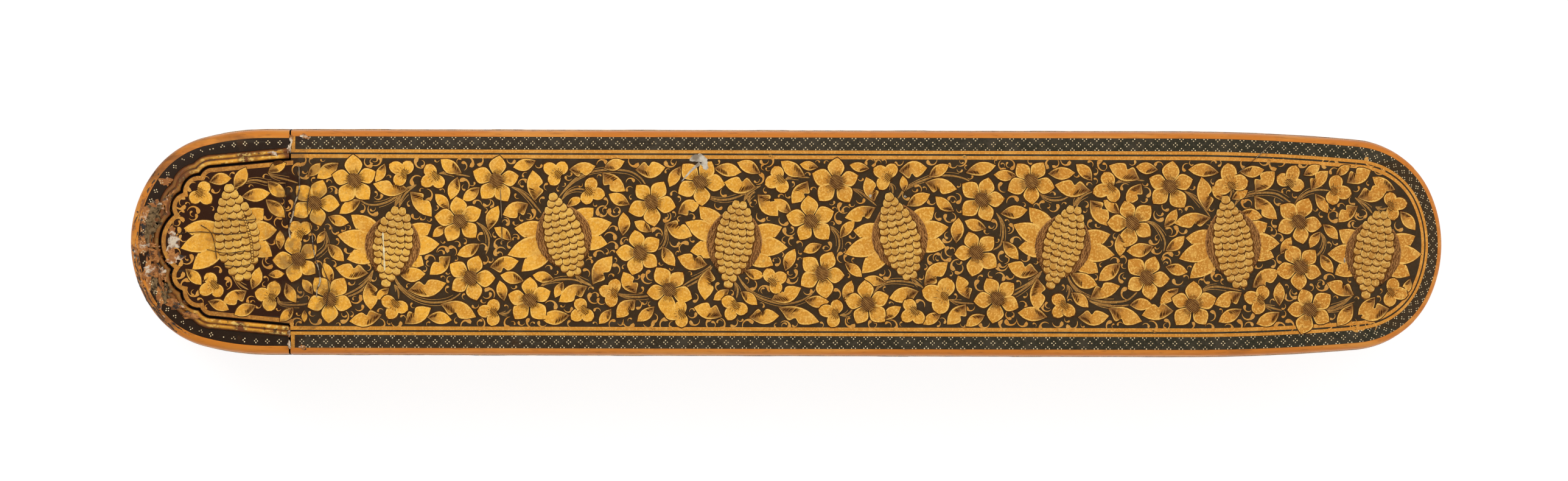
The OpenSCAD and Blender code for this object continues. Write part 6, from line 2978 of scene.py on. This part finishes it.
@dataclass
class WritingTools:
    """The reed pens, the penknife and the nibbing block that lie in the tray."""

    finish: FinishSet
    tools_x: float = -54.6
    pen_len: float = 146.0
    pen_wear: float = 9.0
    pen_r: float = 3.0
    bore_r: float = 1.9
    pen_y: Tuple[float, ...] = (1.55, -4.65, -10.85)
    pen_z: float = 7.9
    ink_len: float = 12.0
    nodes_at: Pairs = ((0.2, 0.05), (0.58, -0.04))
    node_sink: float = 0.14
    node_thick: float = 0.22
    slit_len: float = 8.0
    slit_w: float = 0.2
    slit_lift: float = 0.03
    nib_clear: float = 0.1
    knife_y: float = 10.25
    knife_z: float = 8.5
    handle_len: float = 58.0
    handle_r: float = 3.6
    butt_r: float = 2.8
    swell_len: float = 23.0
    butt_rings: Pair = (1.6, 3.0)
    end_ring: float = 1.4
    ring_sink: float = 0.12
    ring_thick: float = 0.34
    rivets_at: Triple = (16.0, 32.0, 46.0)
    rivet_r: float = 0.6
    rivet_h: float = 0.2
    block_end_x: float = 82.4
    block_top_z: float = 8.1
    cut_seed: int = 19
    cut_count: int = 16
    cut_from: float = 2.0
    cut_span: float = 15.0
    cut_crowding: float = 1.5
    cut_side: float = 2.2
    cut_half: Pair = (0.5, 1.2)
    cut_lean: float = 0.5
    cut_w: float = 0.13
    cut_lift: float = 0.02
    edge_w: float = 0.15

    def build(self) -> None:
        """Build the tools."""
        for i in range(len(self.pen_y)):
            self._pen(i)
        bone, steel = self.finish.bone, self.finish.steel
        for node, name, look, slot in (("penknife_handle", "bone_handle", bone, Slot.BONE),
                                       ("penknife_ferrule", "steel_ferrule", steel, Slot.STEEL),
                                       ("penknife_blade", "steel_blade", steel, Slot.STEEL),
                                       ("nibbing_block", "bone_nibbing_block", bone, Slot.BONE)):
            piece = Bench.copy_node(node, name)
            Bench.soften(piece, self.edge_w)
            Bench.deliver(piece, look, Body.DRAWER, slot, node)
        self._knife()
        self._cuts()

    def _pen(self, i: int) -> None:
        """Dress one reed: its cane, the rings at its nodes and the slit in its nib.

        Args:
            i: The pen's place in the row, from 0.
        """
        node = f"reed_pen_{i + 1}"
        y = self.pen_y[i]
        tip_x = self.tools_x + self.pen_len - i * self.pen_wear
        look = PolishedReed(f"polished_reed_{i + 1}", tip_x - self.ink_len).material()
        piece = Bench.copy_node(node, f"cut_reed_{i + 1}")
        Bench.smooth(piece, Bench.ROUND)
        Bench.deliver(piece, look, Body.DRAWER, Slot.REED, node)
        for j, (share, per_pen) in enumerate(self.nodes_at):
            x = self.tools_x + self.pen_len * (share + per_pen * i)
            ring = Bench.hoop(f"reed_node_{i + 1}_{j + 1}", (x, y, self.pen_z),
                              self.pen_r - self.node_sink, self.node_thick)
            Bench.deliver(ring, self.finish.reed_node, Body.DRAWER, Slot.REED)
        slit = PaintLayer()
        slit.stroke((tip_x - self.slit_len, y), (tip_x - self.nib_clear, y), self.slit_w, self.slit_lift)
        nib = TopGround([node], self.pen_z - self.bore_r)
        slit.piece(f"nib_slit_{i + 1}", nib, self.finish.dry_ink, Body.DRAWER, Slot.REED)

    def _knife(self) -> None:
        """Set turned rings on the knife's handle and rivets along it."""
        for j, at in enumerate((*self.butt_rings, self.handle_len - self.end_ring)):
            ring = Bench.hoop(f"handle_ring_{j + 1}", (self.tools_x + at, self.knife_y, self.knife_z),
                              self._handle_r(at) - self.ring_sink, self.ring_thick)
            Bench.deliver(ring, self.finish.steel, Body.DRAWER, Slot.STEEL)
        for j, at in enumerate(self.rivets_at):
            seat = (self.tools_x + at, self.knife_y, self.knife_z + self._handle_r(at))
            stud = Bench.stud(f"handle_rivet_{j + 1}", seat, self.rivet_r, self.rivet_h)
            Bench.deliver(stud, self.finish.steel, Body.DRAWER, Slot.STEEL)

    def _handle_r(self, at: float) -> float:
        """Radius of the handle at a distance from its butt."""
        swell = ((0.0, self.butt_r), (self.swell_len, self.handle_r), (self.handle_len, self.butt_r))
        return float(along(swell, np.array(at)))

    def _cuts(self) -> None:
        """Score the nibbing block where nibs were cut."""
        draw = random.Random(self.cut_seed)
        cuts = PaintLayer()
        for _ in range(self.cut_count):
            x = self.block_end_x - self.cut_from - self.cut_span * draw.random() ** self.cut_crowding
            y = self.knife_y + draw.uniform(-self.cut_side, self.cut_side)
            half = draw.uniform(*self.cut_half)
            lean = draw.uniform(-self.cut_lean, self.cut_lean)
            cuts.stroke((x - lean, y - half), (x + lean, y + half), self.cut_w, self.cut_lift)
        top = TopGround(["nibbing_block"], self.block_top_z)
        cuts.piece("nibbing_cuts", top, self.finish.ink, Body.DRAWER, Slot.BONE)


@dataclass(frozen=True)
class Lamp:
    """A soft square lamp that faces the box and gives a share of the plain light level."""

    name: str
    azimuth: float
    elevation: float
    share: float
    distance: float = 1.6
    size: float = 1.1

    def build(self) -> None:
        """Hang the lamp."""
        a, e = math.radians(self.azimuth), math.radians(self.elevation)
        data = bpy.data.lights.new(self.name, "AREA")
        data.size = self.size
        data.energy = self.share * math.pi ** 2 * self.distance ** 2 / math.sin(e)
        lamp = bpy.data.objects.new(self.name, data)
        back = Vector((math.cos(a) * math.cos(e), math.sin(a) * math.cos(e), math.sin(e)))
        lamp.location = back * self.distance
        lamp.rotation_euler = (-back).to_track_quat("-Z", "Y").to_euler()
        bpy.context.scene.collection.objects.link(lamp)


@dataclass
class Studio:
    """Camera, floor, world and lamps."""

    lens: float = 400.0
    sensor: float = 36.0
    top_z: float = 38.0
    sky: float = 0.4
    clip: Pair = (0.1, 20.0)
    floor_side: float = 7.0
    floor_z: float = -0.0002
    floor_white: float = 0.93
    floor_glow: float = 0.6
    glow_strength: float = 1.33
    lamps: Tuple[Lamp, ...] = (Lamp("window_light", 125.0, 52.0, 0.30),
                               Lamp("fill_light", -40.0, 48.0, 0.16),
                               Lamp("side_light", 20.0, 45.0, 0.12))

    def build(self) -> None:
        """Set up the whole studio."""
        bpy.context.scene.view_settings.view_transform = "Standard"
        self._camera()
        self._floor()
        self._world()
        for lamp in self.lamps:
            lamp.build()

    def _camera(self) -> None:
        """Look straight down on the top, framed as the photograph is."""
        data = bpy.data.cameras.new("photo_camera")
        data.sensor_fit = "HORIZONTAL"
        data.sensor_width = self.sensor
        data.lens = self.lens
        frame_w = VIEW.frame_w_px / VIEW.px_per_mm
        distance = frame_w * self.lens / self.sensor
        camera = bpy.data.objects.new("photo_camera", data)
        right = (VIEW.frame_w_px / 2.0 - VIEW.box_x_px) / VIEW.px_per_mm
        up = (VIEW.box_y_px - VIEW.frame_h_px / 2.0) / VIEW.px_per_mm
        camera.location = (right * MM, up * MM, (self.top_z + distance) * MM)
        camera.rotation_euler = (0.0, 0.0, math.radians(VIEW.tilt_deg))
        data.clip_start = self.clip[0]
        data.clip_end = self.clip[1]
        bpy.context.scene.collection.objects.link(camera)
        bpy.context.scene.camera = camera

    def _floor(self) -> None:
        """Lay a pale floor that keeps the box's shadow."""
        Bench.clear()
        bpy.ops.mesh.primitive_plane_add(size=self.floor_side, location=(0.0, 0.0, self.floor_z))
        floor = bpy.context.object
        floor.name = "studio_floor"
        r = Recipe(bpy.data.materials.new("pale_floor"))
        paper = r.node("ShaderNodeBsdfDiffuse", {}, {"Color": (self.floor_white,) * 3 + (1.0,)})
        glow = r.node("ShaderNodeEmission", {}, {"Color": WHITE, "Strength": self.glow_strength})
        both = r.node("ShaderNodeMixShader", {}, {0: r.seen() * self.floor_glow, 1: paper, 2: glow})
        r.node("ShaderNodeOutputMaterial", {}, {"Surface": both})
        floor.data.materials.append(r.owner)

    def _world(self) -> None:
        """Surround the box with even light, white where it is seen."""
        r = Recipe(bpy.data.worlds.new("studio_world"))
        light, shown = (r.node("ShaderNodeBackground", {}, {"Color": WHITE, "Strength": strength})
                        for strength in (self.sky, 1.0))
        both = r.node("ShaderNodeMixShader", {}, {0: r.seen(), 1: light, 2: shown})
        r.node("ShaderNodeOutputWorld", {}, {"Surface": both})
        bpy.context.scene.world = r.owner


def main() -> None:
    """Build the pen box and its studio."""
    logging.basicConfig(level=logging.INFO, format="%(message)s")
    Studio().build()
    finish = FinishSet()
    shop = MotifShop()
    Sleeve(shop, finish).build()
    Head(shop, finish).build()
    Drawer(shop, finish).build()
    Inkwell(shop, finish).build()
    WritingTools(finish).build()


if __name__ == "__main__":
    main()
